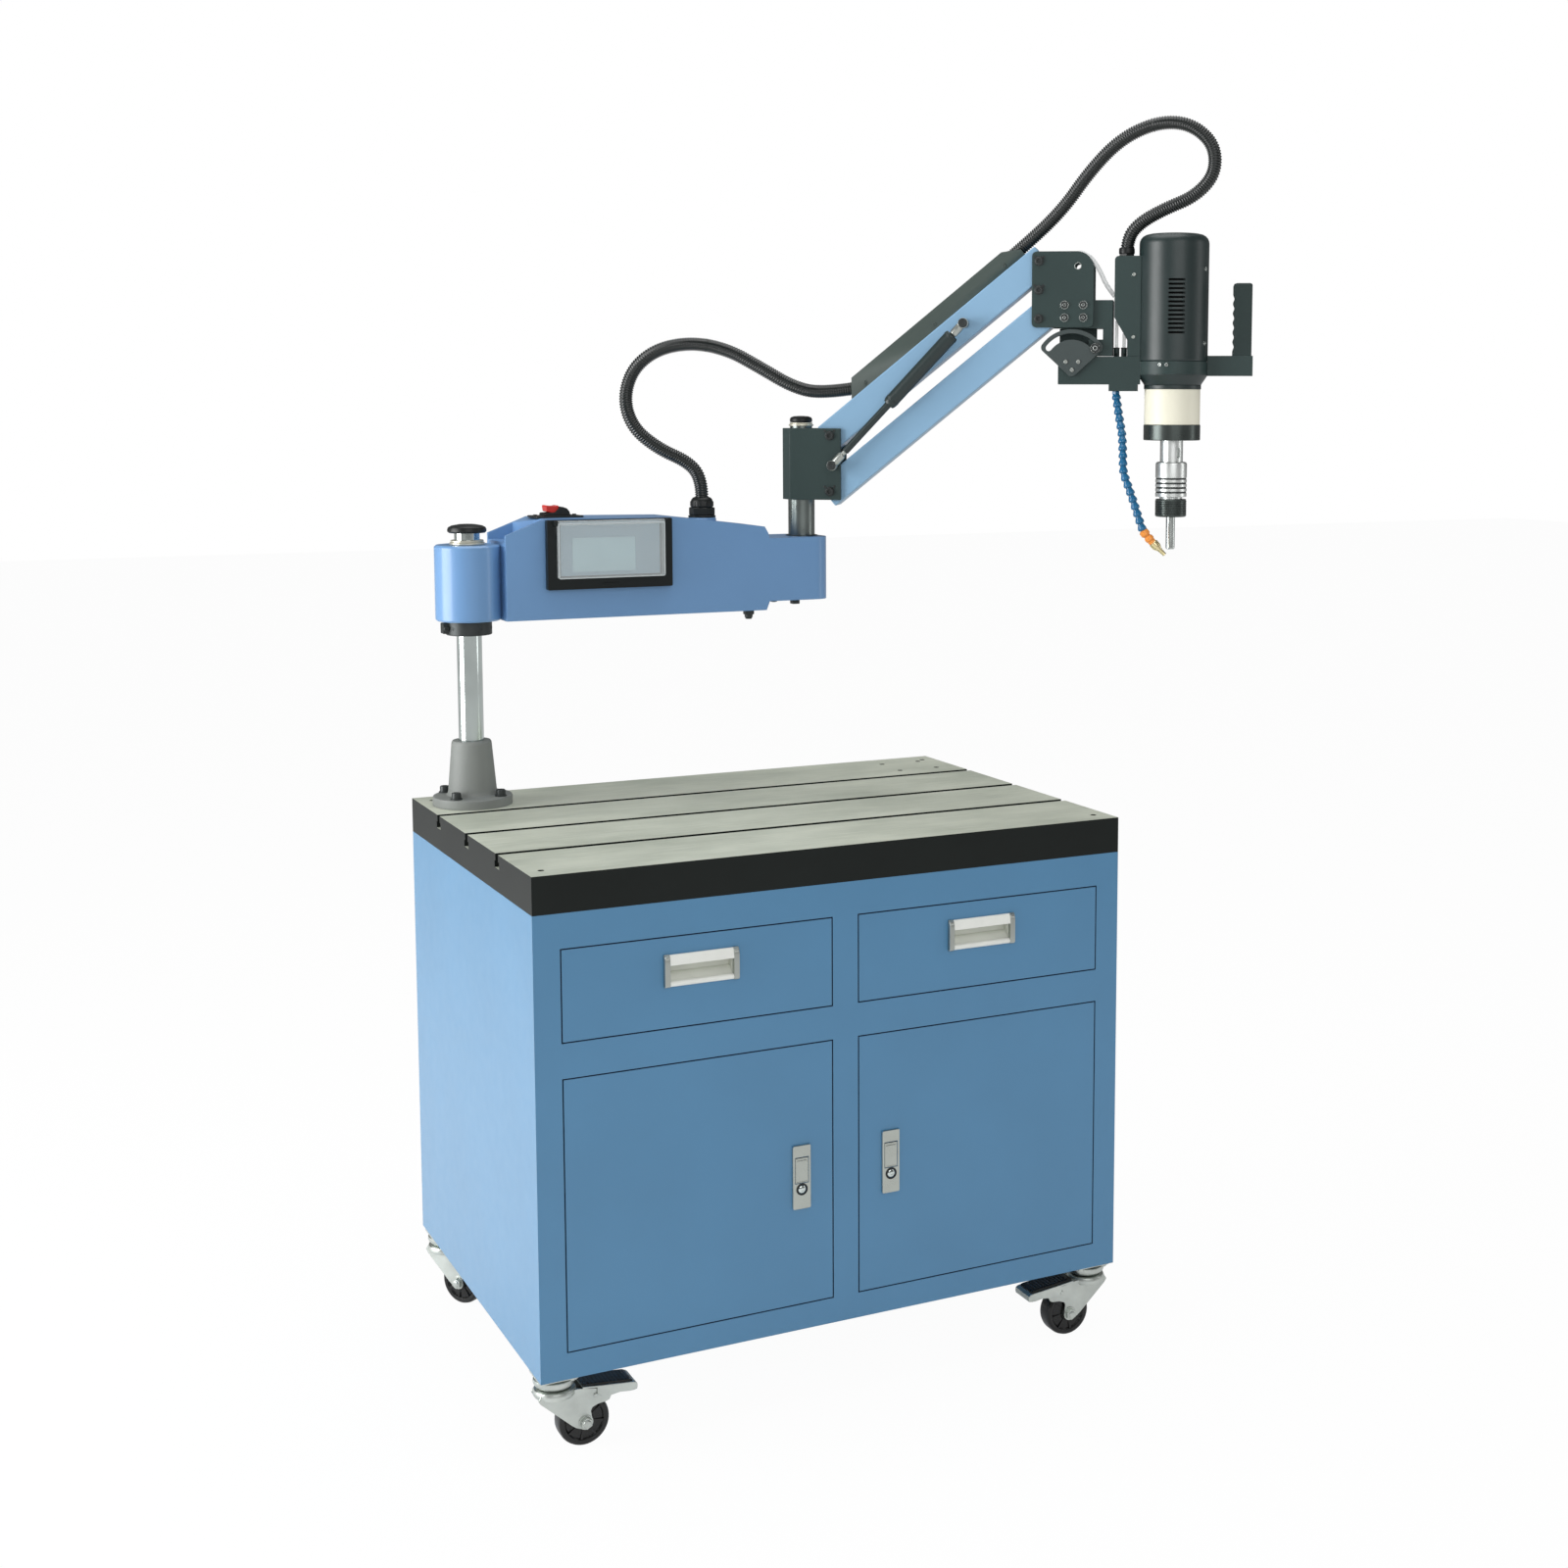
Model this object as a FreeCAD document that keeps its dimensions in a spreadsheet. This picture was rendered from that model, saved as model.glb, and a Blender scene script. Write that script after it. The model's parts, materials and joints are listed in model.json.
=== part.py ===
import FreeCAD, Part
import math
import os
import types

import Sketcher

# Arm tapping machine on a wheeled tool cabinet. Millimetres and degrees, +Z up.
# The origin lies on the floor under the middle of the table plate; X runs along the table's
# long side, -Y is the side with the doors and drawers.

SIZES = {
    # Cabinet and table plate
    "table_length": 1000,
    "table_depth": 700,
    "table_thick": 58,
    "slot_edge": 178,
    "slot_neck": 14,
    "slot_neck_depth": 11,
    "slot_wide": 24,
    "slot_depth": 22,
    "corner_hole_edge_x": 26,
    "corner_hole_edge_y": 37,
    "table_hole_radius": 5,
    "table_hole_depth": 25,
    "spare_edge_x": 80,
    "spare_edge_y": 88,
    "cabinet_height": 710,
    "caster_height": 122,
    "sheet": 2,
    "frame_side": 41,
    "post_half": 21.5,
    "frame_flange": 18,
    "front_gap": 2,
    "front_thick": 18,
    "drawer_drop": 53,
    "drawer_opening": 142.5,
    "door_sill": 40.8,
    "door_drop": 248.6,
    "shelf_drop": 222,
    "drawer_inset": 11.5,
    "drawer_box_depth": 560,
    "drawer_box_height": 110,
    "drawer_box_lift": 8.5,
    "drawer_wall": 1.5,
    "ledge_overlap": 10,
    "ledge_thick": 6,
    "hinge_inset": 4,
    "hinge_pin_radius": 3,
    "hinge_pin_depth": 10,
    "hinge_block": 14,
    "slack": 0.3,
    "running_fit": 0.05,
    # Pulls and latches
    "pull_drop": 50.5,
    "pull_width": 120,
    "pull_height": 50,
    "pull_proud": 8,
    "pull_border": 10,
    "pull_depth": 14.5,
    "pull_wall": 1.5,
    "pull_hood": 14,
    "latch_inset": 54,
    "latch_width": 30,
    "latch_height": 102,
    "latch_drop": 159,
    "latch_proud": 4,
    "latch_case_depth": 12,
    "flap_width": 22,
    "flap_height": 40,
    "flap_top": 20,
    "flap_thick": 3,
    "flap_pin_radius": 0.8,
    "flap_pin_end": 1.2,
    "button_radius": 7,
    "button_drop": 70.5,
    "button_travel": 2,
    # Casters
    "caster_edge_x": 32,
    "caster_edge_y": 38,
    "wheel_radius": 40,
    "wheel_width": 30,
    "wheel_trail": 42,
    "wheel_hub_radius": 14,
    "axle_radius": 4,
    "fork_gap": 2,
    "fork_leg": 3,
    "crown_radius": 30.5,
    "crown_low": 86,
    "crown_high": 100,
    "kingpin_radius": 6,
    "mount_plate": 62,
    "mount_thick": 5,
    "mount_neck_radius": 20,
    "fork_foot": 10,
    "pedal_pin_radius": 2.5,
    "pedal_pin_reach": 72,
    "pedal_pin_height": 81,
    "pedal_thick": 3,
    "pedal_heel": 60,
    "pedal_reach": 124,
    "pedal_high": 95,
    "pedal_toe": 88,
    "pedal_lip": 13,
    # Column
    "column_edge_x": 80.6,
    "column_edge_y": 95.6,
    "flange_radius": 67,
    "flange_thick": 16,
    "base_bolt_circle": 108,
    "base_bolt_radius": 5,
    "base_bolt_depth": 22,
    "cone_low_radius": 42,
    "cone_top_radius": 33.5,
    "cone_height": 110,
    "base_floor": 6,
    "tube_radius": 21,
    "tube_bore": 15,
    "tube_height": 463,
    "collar_radius": 38.5,
    "collar_height": 23.7,
    "clamp_lug": 9,
    "clamp_screw_radius": 3.5,
    "clamp_screw_length": 28,
    "arm_height": 315,
    "boss_radius": 55,
    "boss_height": 128,
    "column_washer_radius": 29.3,
    "column_washer": 7.7,
    "cap_radius": 32.5,
    "cap_height": 15,
    "cap_stem": 23,
    # First arm, measured from the column's axis
    "arm_width": 112,
    "arm_start": 50,
    "arm_end": 650,
    "arm_wall": 7,
    "arm_left_top": 144.3,
    "arm_top": 171,
    "arm_top_start": 118.9,
    "arm_top_flat_end": 200,
    "arm_top_far": 354,
    "arm_top_far_height": 169,
    "arm_slope_mid": 436,
    "arm_slope_mid_height": 159.5,
    "arm_slope_end": 520,
    "arm_slope_end_height": 149,
    "tip_start": 529,
    "tip_height": 128,
    "tip_underside": 15.5,
    "tip_round": 31,
    "notch_floor": 133,
    "notch_front": 119,
    "notch_rear": 93,
    "post_reach": 616,
    "post_big_radius": 24,
    "post_socket": 98,
    "post_shoulder": 193.7,
    "post_small_radius": 20,
    "post_top": 326,
    "panel_start": 118.5,
    "panel_width": 223,
    "panel_height": 118,
    "panel_thick": 12,
    "screen_start": 43.5,
    "screen_width": 113,
    "screen_low": 29,
    "screen_height": 59,
    "screen_recess": 2,
    "cover_start": 16.5,
    "cover_width": 190,
    "cover_height": 98,
    "cover_depth": 9,
    "cover_wall": 2,
    "cover_pin_radius": 2,
    "cover_ear": 6,
    "switch_start": 112,
    "switch_width": 85,
    "switch_depth": 56,
    "switch_plate": 3,
    "guard_start": 19,
    "guard_width": 45.5,
    "guard_depth": 34,
    "guard_height": 15,
    "guard_wall": 4,
    "rocker_length": 23,
    "rocker_width": 20,
    "rocker_proud": 3,
    "rocker_pin_radius": 1.5,
    "dome_reach": 560,
    "fastener_width": 14,
    "fastener_drop": 12,
    "air_fitting_reach": 511,
    "air_fitting_radius": 10,
    "gland_reach": 423,
    "gland_pad_radius": 25,
    "gland_pad_height": 165,
    "gland_hex_radius": 23,
    "gland_hex_height": 18,
    "gland_nut_radius": 20,
    "gland_nut_height": 18,
    "gland_stem_radius": 14,
    # Bracket and second arm, measured from the post's axis
    "arm_yaw": -35,
    "bracket_low": 194,
    "bracket_height": 128,
    "bracket_half": 33,
    "bracket_solid": 29,
    "bracket_reach": 78,
    "bracket_chamfer_s": 18,
    "bracket_chamfer_t": 27,
    "bracket_fit": 0.05,
    "slot_half": 25.3,
    "pivot_reach": 58.2,
    "pivot_height": 309.1,
    "pivot_gap": 100,
    "pivot_pin_radius": 6,
    "pin_head_radius": 10,
    "pin_head": 5,
    "bracket_washer_radius": 22.3,
    "bracket_washer": 6,
    "bracket_cap_radius": 20.3,
    "bracket_cap_height": 12,
    "spring_stud_reach": 65.4,
    "spring_stud_height": 256.1,
    "stud_radius": 4,
    "stud_collar_radius": 8,
    "link_pitch": 39.3,
    "link_length": 483,
    "link_depth": 52,
    "link_half": 25,
    "link_overhang": 10,
    "link_wall": 5,
    "link_boss": 40,
    "open_pivot_slack": 0.5,
    "channel_start": 70.5,
    "channel_rake": 24,
    "channel_top_end": 441,
    "channel_end": 471,
    "channel_rise": 30,
    "channel_half": 20,
    "channel_wall": 2,
    "clamp_place": 400,
    "clamp_thick": 4,
    "spring_offset": 48,
    "spring_link_reach": 313,
    "socket_radius": 9,
    "socket_width": 14,
    "spring_rod_radius": 6.5,
    "spring_neck_radius": 4.5,
    "spring_neck_end": 36,
    "spring_rod_end": 250,
    "spring_tube_radius": 12.4,
    "spring_tube_bore": 10.8,
    "spring_tube_start": 28,
    "spring_tube_plug": 12,
    "spring_tube_end": 195,
    # Head, measured from the upper front pivot
    "head_left": 12.3,
    "head_right": 96.2,
    "head_up": 17,
    "head_down": 115,
    "head_plate": 7.7,
    "head_round": 30,
    "head_small_round": 8,
    "head_hole_radius": 6,
    "head_hole_x": 68.4,
    "head_hole_z": -8.6,
    "screw_x": 45.3,
    "screw_pitch_x": 32.9,
    "screw_z": -76,
    "screw_pitch_z": 22,
    "head_screw_radius": 4,
    "block_left": 36,
    "block_top": -67.4,
    "block_low": -116.6,
    "leg_left": 112.8,
    "leg_right": 129.7,
    "foot_left": 88,
    "foot_top": -136,
    "foot_low": -164,
    "carrier_left": 34,
    "carrier_right": 100,
    "carrier_thick": 12.3,
    "carrier_round": 24,
    "lock_angle": 37.3,
    "lock_bolt_radius": 5,
    "tilt_x": 58.8,
    "tilt_z": -182.8,
    "tilt_pin_radius": 8,
    # Tilting head, measured from the tilt pin
    "bar_left": 24.5,
    "bar_up": 17.2,
    "bar_down": 31.3,
    "bar_rear": 12.7,
    "bar_end": 122,
    "manifold_left": 65,
    "manifold_right": 115,
    "manifold_drop": 11.7,
    "motor_x": 176.2,
    "motor_radius": 61,
    "ring_low": -13.9,
    "ring_high": 8.4,
    "ring_bore": 50,
    "motor_top": 229.8,
    "motor_edge": 8,
    "motor_crown": 14,
    "motor_wall": 5,
    "quadrant_radius": 65,
    "quadrant_thick": 6,
    "quadrant_start": 31,
    "quadrant_sweep": 118,
    "quadrant_hub": 20.5,
    "arc_radius": 52,
    "arc_half": 5.5,
    "arc_start": 36,
    "arc_sweep": 106,
    "box_left": 73.5,
    "box_half": 24,
    "box_top": 191.8,
    "box_slant_top": 85.3,
    "box_slant_x": 96.5,
    "box_slant_low": 46,
    "fitting_radius": 5,
    "fitting_height": 16,
    "fitting_x": 77.5,
    "fitting_pitch": 13,
    "nose_neck_radius": 50,
    "nose_neck_high": -31,
    "nose_band_radius": 49,
    "nose_band_high": -39.7,
    "nose_collar_radius": 50,
    "nose_collar_high": -101.6,
    "nose_low": -129.2,
    "nose_bore_depth": 64,
    "spindle_radius": 20.25,
    "chuck_radius": 27.7,
    "chuck_high": -167.2,
    "chuck_ring_high": -229,
    "chuck_low": -264.2,
    "chuck_core_radius": 20,
    "ring_travel": 3.5,
    "groove_depth": 1.2,
    "groove_width": 3,
    "groove_pitch": 8,
    "groove_count": 4,
    "groove_high": -195,
    "tap_radius": 8,
    "tap_low": -322,
    "tap_shank": 40,
    "handle_left": 236,
    "handle_right": 315.5,
    "handle_low": -16.3,
    "handle_high": 18.7,
    "handle_half": 12,
    "grip_left": 279.5,
    "grip_right": 313,
    "grip_top": 144.6,
    # Cords
    "conduit_radius": 10,
    "air_tube_radius": 4,
    "bead_radius": 7.8,
    "bead_waist": 5.6,
    "bead_pitch": 13.5,
    "nozzle_radius": 3,
}

doc = FreeCAD.newDocument("arm_tapping_machine")
sheet = doc.addObject("Spreadsheet::Sheet", "Sizes")


class Size:
    """A number that remembers the sheet formula it comes from."""

    def __init__(self, number, formula=None):
        self.number = float(number)
        self.formula = formula or f"({self.number:.9g})"

    def __add__(self, other):
        return combine(self, "+", other)

    def __radd__(self, other):
        return combine(other, "+", self)

    def __sub__(self, other):
        return combine(self, "-", other)

    def __rsub__(self, other):
        return combine(other, "-", self)

    def __mul__(self, other):
        return combine(self, "*", other)

    def __rmul__(self, other):
        return combine(other, "*", self)

    def __truediv__(self, other):
        return combine(self, "/", other)

    def __neg__(self):
        return combine(-1, "*", self)

    def __lt__(self, other):
        return self.number < float(other)

    def __float__(self):
        return self.number


def as_size(value):
    return value if isinstance(value, Size) else Size(value)


def combine(left, sign, right):
    left, right = as_size(left), as_size(right)
    if sign == "+":
        number = left.number + right.number
    elif sign == "-":
        number = left.number - right.number
    elif sign == "*":
        number = left.number * right.number
    else:
        number = left.number / right.number
    return Size(number, f"({left.formula} {sign} {right.formula})")


def cosine(angle):
    return Size(math.cos(math.radians(float(angle))), f"cos({as_size(angle).formula})")


def sine(angle):
    return Size(math.sin(math.radians(float(angle))), f"sin({as_size(angle).formula})")


def fill_sheet():
    for row, (alias, number) in enumerate(SIZES.items(), start=1):
        sheet.set(f"A{row}", alias)
        sheet.set(f"B{row}", str(number))
        sheet.setAlias(f"B{row}", alias)
    doc.recompute()
    return types.SimpleNamespace(**{alias: Size(getattr(sheet, alias), f"Sizes.{alias}") for alias in SIZES})


size = fill_sheet()

# ---------------------------------------------------------------- shapes

AXES = {"X": (1, 0, 0), "Y": (0, 1, 0), "Z": (0, 0, 1)}
ALONG = {"X": ("Y", 90), "Y": ("X", -90), "Z": ("Z", 0)}
PLANES = {"XY": "XY_Plane", "XZ": "XZ_Plane", "YZ": "YZ_Plane"}
poses = {}
nodes = {}


class Frame:
    """A place in the machine, as a formula on the sheet and as a placement."""

    def __init__(self, formula, placement):
        self.formula = formula
        self.placement = placement

    def moved(self, x=0, y=0, z=0, axis="Z", turn=0):
        step = pose(x, y, z, axis, turn)
        return Frame(f"{self.formula} * {step.formula}", self.placement * step.placement)

    def point(self, x, y, z):
        return self.placement.multVec(FreeCAD.Vector(float(x), float(y), float(z)))


def pose(x=0, y=0, z=0, axis="Z", turn=0):
    x, y, z, turn = (as_size(value) for value in (x, y, z, turn))
    ax, ay, az = AXES[axis]
    formula = (
        f"create(<<placement>>; create(<<vector>>; {x.formula}; {y.formula}; {z.formula}); "
        f"create(<<rotation>>; create(<<vector>>; {ax}; {ay}; {az}); {turn.formula}))"
    )
    spin = FreeCAD.Rotation(FreeCAD.Vector(ax, ay, az), turn.number)
    return Frame(formula, FreeCAD.Placement(FreeCAD.Vector(x.number, y.number, z.number), spin))


def bind(shape, **values):
    for name, value in values.items():
        shape.setExpression(name, as_size(value).formula)


def put(shape, frame):
    poses[shape.Name] = frame
    shape.setExpression("Placement", frame.formula)
    return shape


def span(x0, x1, y0, y1, z0, z1):
    """A box between two corners, whichever of them is the lower."""
    (x0, x1), (y0, y1), (z0, z1) = (sorted(pair, key=float) for pair in ((x0, x1), (y0, y1), (z0, z1)))
    block = doc.addObject("Part::Box", "Box")
    bind(block, Length=x1 - x0 + Size(0), Width=y1 - y0 + Size(0), Height=z1 - z0 + Size(0))
    return put(block, pose(x0, y0, z0))


def rod(x, y, z, radius, length, axis="Z"):
    cylinder = doc.addObject("Part::Cylinder", "Cylinder")
    bind(cylinder, Radius=radius, Height=length)
    return put(cylinder, pose(x, y, z, *ALONG[axis]))


def hexagon(x, y, z, radius, length, axis="Z"):
    prism = doc.addObject("Part::Prism", "Prism")
    prism.Polygon = 6
    bind(prism, Circumradius=radius, Height=length)
    return put(prism, pose(x, y, z, *ALONG[axis]))


def fan(radius, start, sweep, y, thick):
    """A sector of a disc that stands across Y, its angles measured from +X towards +Z."""
    sector = doc.addObject("Part::Cylinder", "Cylinder")
    bind(sector, Radius=radius, Height=thick, Angle=sweep)
    frame = pose(0, y + thick, 0, "X", 90).moved(axis="Z", turn=start)
    return put(sector, frame)


def fuse(*shapes):
    if len(shapes) == 1:
        return shapes[0]
    joined = doc.addObject("Part::MultiFuse", "Fusion")
    joined.Shapes = list(shapes)
    joined.Refine = True
    return joined


def cut(base, *tools):
    result = doc.addObject("Part::Cut", "Cut")
    result.Base = base
    result.Tool = fuse(*tools)
    result.Refine = True
    return result


def group(*shapes):
    """Separate solids that share one node."""
    bundle = doc.addObject("Part::Compound", "Compound")
    bundle.Links = list(shapes)
    return bundle


def sketch(body, plane, outline):
    drawing = body.newObject("Sketcher::SketchObject", "Sketch")
    support = next(part for part in body.Origin.OriginFeatures if part.Role == PLANES[plane])
    drawing.AttachmentSupport = [(support, "")]
    drawing.MapMode = "FlatFace"
    corners = [FreeCAD.Vector(float(a), float(b), 0) for a, b in outline]
    count = len(corners)
    lines = [Part.LineSegment(corners[i], corners[(i + 1) % count]) for i in range(count)]
    drawing.addGeometry(lines, False)
    rules = [Sketcher.Constraint("Coincident", i, 2, (i + 1) % count, 1) for i in range(count)]
    for i, corner in enumerate(corners):
        rules.append(Sketcher.Constraint("DistanceX", -1, 1, i, 1, corner.x))
        rules.append(Sketcher.Constraint("DistanceY", -1, 1, i, 1, corner.y))
    drawing.addConstraint(rules)
    for i, point in enumerate(outline):
        for j, value in enumerate(point):
            if isinstance(value, Size):
                drawing.setExpression(f"Constraints[{count + 2 * i + j}]", value.formula)
    return drawing


def plate(plane, outline, start, depth):
    """An outline in a plane, carried from start along the plane's own axis by depth."""
    body = doc.addObject("PartDesign::Body", "Body")
    pad = body.newObject("PartDesign::Pad", "Pad")
    pad.Profile = sketch(body, plane, outline)
    pad.Reversed = plane == "XZ"
    bind(pad, Length=depth)
    place = {"XY": (0, 0, start), "XZ": (0, start, 0), "YZ": (start, 0, 0)}[plane]
    return put(body, pose(*place))


def turned(outline, x=0, y=0, z=0, axis="Z"):
    """A profile of (radius, height) points turned round an axis."""
    body = doc.addObject("PartDesign::Body", "Body")
    profile = sketch(body, "XZ", outline)
    revolution = body.newObject("PartDesign::Revolution", "Revolution")
    revolution.Profile = profile
    revolution.ReferenceAxis = (profile, ["V_Axis"])
    revolution.Angle = 360
    return put(body, pose(x, y, z, *ALONG[axis]))


def dress(body, kind, amount, axis, places):
    """Fillet or chamfer the edges along an axis that stand on given places of the body's own axes."""
    doc.recompute()
    base = body.Tip
    kept = [name for name in ("x", "y", "z") if name != axis.lower()]

    def stands(corner, place):
        return all(abs(getattr(corner, name) - float(value)) < 1e-3 for name, value in zip(kept, place))

    names = []
    for number, edge in enumerate(base.Shape.Edges, start=1):
        ends = [vertex.Point for vertex in edge.Vertexes]
        if len(ends) == 2 and any(all(stands(end, place) for end in ends) for place in places):
            names.append(f"Edge{number}")
    feature = body.newObject(f"PartDesign::{kind}", kind)
    feature.Base = (base, names)
    bind(feature, **{"Radius" if kind == "Fillet" else "Size": amount})
    body.Tip = feature


def socket_screw(x, y, z, shank_radius, shank, head_radius, head, axis="Z", down=False):
    """A cap screw with its head's seat at the point and its shank running back from the head."""
    way = -1 if down else 1
    places = {"X": (1, 0, 0), "Y": (0, 1, 0), "Z": (0, 0, 1)}[axis]

    def along(distance):
        return [value + unit * way * distance for value, unit in zip((x, y, z), places)]

    def bar(shape, near_end, far_end, radius):
        low = far_end if down else near_end
        return shape(*along(low), radius, (far_end - near_end) + Size(0), axis)

    body = fuse(bar(rod, -shank, Size(0), shank_radius), bar(rod, Size(0), head, head_radius))
    return cut(body, bar(hexagon, head * 0.5, head + 1, head_radius * 0.55))


def make(name, shape, frame):
    """Name a finished piece and set it in its frame."""
    own = poses.get(shape.Name)
    whole = Frame(f"{frame.formula} * {own.formula}", frame.placement * own.placement) if own else frame
    shape.Label = name
    shape.setExpression("Placement", whole.formula)
    nodes[name] = shape


# ---------------------------------------------------------------- places

SIDES = {"left": -1, "right": 1}
half_length = size.table_length / 2
half_depth = size.table_depth / 2
cabinet_top = size.caster_height + size.cabinet_height
table_top = cabinet_top + size.table_thick

floor = pose()
table = pose(0, 0, table_top)
column_x = size.column_edge_x - half_length
column_y = half_depth - size.column_edge_y
column = pose(column_x, column_y, table_top)
arm = column.moved(z=size.arm_height)
second = arm.moved(x=size.post_reach, turn=size.arm_yaw)
link = second.moved(size.pivot_reach, 0, size.pivot_height, "Y", -size.link_pitch)
lower_pivot_height = size.pivot_height - size.pivot_gap
low_link = second.moved(size.pivot_reach, 0, lower_pivot_height, "Y", -size.link_pitch)
head_reach = size.pivot_reach + size.link_length * cosine(size.link_pitch)
head_height = size.pivot_height + size.link_length * sine(size.link_pitch)
head = second.moved(head_reach, 0, head_height)
tilt = head.moved(size.tilt_x, 0, size.tilt_z)
motor_axis = tilt.moved(x=size.motor_x)


# ---------------------------------------------------------------- cabinet and table

drawer_high = cabinet_top - size.drawer_drop
drawer_low = drawer_high - size.drawer_opening
door_low = size.caster_height + size.door_sill
door_high = cabinet_top - size.door_drop
front_inner = size.post_half + size.front_gap
opening_outer = half_length - size.frame_side
front_outer = opening_outer - size.front_gap
front_middle = (front_inner + front_outer) / 2
drawer_box_low = drawer_low + size.drawer_box_lift
hinge_x = front_outer - size.hinge_inset
hinge_y = -half_depth + size.hinge_inset


def face_opening(side, low, high, grow, y0, y1):
    """The space of a front opening, grown all round."""
    inner = side * (size.post_half - grow)
    outer = side * (opening_outer + grow)
    return span(inner, outer, y0, y1, low - grow, high + grow)


def cabinet_shell():
    top, wall = cabinet_top, size.sheet
    shelf = cabinet_top - size.shelf_drop
    solid = span(-half_length, half_length, -half_depth, half_depth, size.caster_height, top)
    spaces = []
    extras = []
    for side in SIDES.values():
        for low, high in ((size.caster_height + wall, shelf), (shelf + wall, top - wall)):
            near_x, far_x = side * wall / 2, side * (half_length - wall)
            spaces.append(span(near_x, far_x, -half_depth + wall, half_depth - wall, low, high))
        for low, high in ((drawer_low, drawer_high), (door_low, door_high)):
            spaces.append(face_opening(side, low, high, Size(0), -half_depth - 1, -half_depth + wall))
            back = -half_depth + size.frame_flange
            rim = face_opening(side, low, high, wall, -half_depth + wall, back)
            extras.append(cut(rim, face_opening(side, low, high, Size(0), -half_depth + wall - 1, back + 1)))
        extras += drawer_ledges(side)
        extras += hinge_pins(side)
    make("cabinet_shell", fuse(cut(solid, *spaces), *extras), floor)


def drawer_ledges(side):
    """Sheet ledges that carry a drawer box along both of its lower edges."""
    high = drawer_box_low - size.slack
    low = high - size.ledge_thick
    front = -half_depth + size.front_thick + size.drawer_wall + 1
    back = half_depth - size.sheet
    box_inner = front_inner + size.drawer_inset
    box_outer = front_outer - size.drawer_inset
    return [
        span(side * size.sheet / 2, side * (box_inner + size.ledge_overlap), front, back, low, high),
        span(side * (box_outer - size.ledge_overlap), side * (half_length - size.sheet), front, back, low, high),
    ]


def hinge_pins(side):
    reach = size.front_gap + size.hinge_pin_depth
    x = side * hinge_x
    return [
        rod(x, hinge_y, door_high - reach, size.hinge_pin_radius, reach + size.sheet),
        rod(x, hinge_y, door_low - size.sheet, size.hinge_pin_radius, reach + size.sheet),
    ]


def table_plate():
    plate_block = span(-half_length, half_length, -half_depth, half_depth, -size.table_thick, Size(0))
    tools = []
    for row in (-1, 0, 1):
        y = row * (half_depth - size.slot_edge)
        neck, wide = size.slot_neck / 2, size.slot_wide / 2
        tools.append(span(-half_length - 1, half_length + 1, y - neck, y + neck, -size.slot_neck_depth, Size(1)))
        tools.append(
            span(-half_length - 1, half_length + 1, y - wide, y + wide, -size.slot_depth, -size.slot_neck_depth)
        )
    hole_x, hole_y = half_length - size.corner_hole_edge_x, half_depth - size.corner_hole_edge_y
    for x, y in corner_places(hole_x * 2, hole_y * 2):
        tools.append(table_hole(x, y))
    spare_x, spare_y = half_length - size.spare_edge_x, half_depth - size.spare_edge_y
    for x, y in bolt_circle():
        tools.append(table_hole(column_x + x, column_y + y))
        tools.append(table_hole(spare_x + x, spare_y + y))
    make("table_plate", cut(plate_block, *tools), table)


def corner_places(span_x, span_y):
    return [(i * span_x / 2, j * span_y / 2) for i in (-1, 1) for j in (-1, 1)]


def bolt_circle():
    side = size.base_bolt_circle * math.sqrt(0.5)
    return corner_places(side, side)


def table_hole(x, y):
    return rod(x, y, -size.table_hole_depth, size.table_hole_radius, size.table_hole_depth + 1)


def drawers():
    for word, side in SIDES.items():
        front = -half_depth
        back = front + size.front_thick
        low, high = drawer_low + size.front_gap, drawer_high - size.front_gap
        wall = size.drawer_wall
        panel = span(side * front_inner, side * front_outer, front, back + wall, low, high)
        skin = size.sheet
        hollow = span(
            side * (front_inner + skin), side * (front_outer - skin), front + skin, back, low + skin, high - skin
        )
        x = side * front_middle
        cup_x = size.pull_width / 2 - size.pull_border + size.pull_wall
        cup_z = size.pull_height / 2 - size.pull_border + size.pull_wall
        z = high - size.pull_drop
        window = span(x - cup_x, x + cup_x, front - 1, front + skin + 1, z - cup_z, z + cup_z)
        inner = front_inner + size.drawer_inset
        outer = front_outer - size.drawer_inset
        box_high = drawer_box_low + size.drawer_box_height
        box_back = back + size.drawer_box_depth
        box = span(side * inner, side * outer, back, box_back, drawer_box_low, box_high)
        inside = span(
            side * (inner + wall), side * (outer - wall), back + wall, box_back - wall, drawer_box_low + wall,
            box_high + 1,
        )
        make(f"drawer_{word}", cut(fuse(panel, box), hollow, window, inside), floor)
        make(f"drawer_pull_{word}", drawer_pull(x, z), floor)


def drawer_pull(x, z):
    """A cup pull: a proud frame with a hood, and a closed cup set into the drawer front."""
    front = -half_depth
    half_x, half_z = size.pull_width / 2, size.pull_height / 2
    in_x, in_z = half_x - size.pull_border, half_z - size.pull_border
    wall = size.pull_wall
    proud = front - size.pull_proud
    frame = span(x - half_x, x + half_x, proud, front, z - half_z, z + half_z)
    cup = span(
        x - in_x - wall, x + in_x + wall, front, front + size.pull_depth, z - in_z - wall, z + in_z + wall
    )
    space = span(x - in_x, x + in_x, proud - 1, front + size.pull_depth - wall, z - in_z, z + in_z)
    hood_back = proud + 2 * wall
    hood = span(x - in_x, x + in_x, proud, hood_back, z + half_z - size.pull_hood, z + in_z)
    return fuse(cut(fuse(frame, cup), space), hood)


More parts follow.
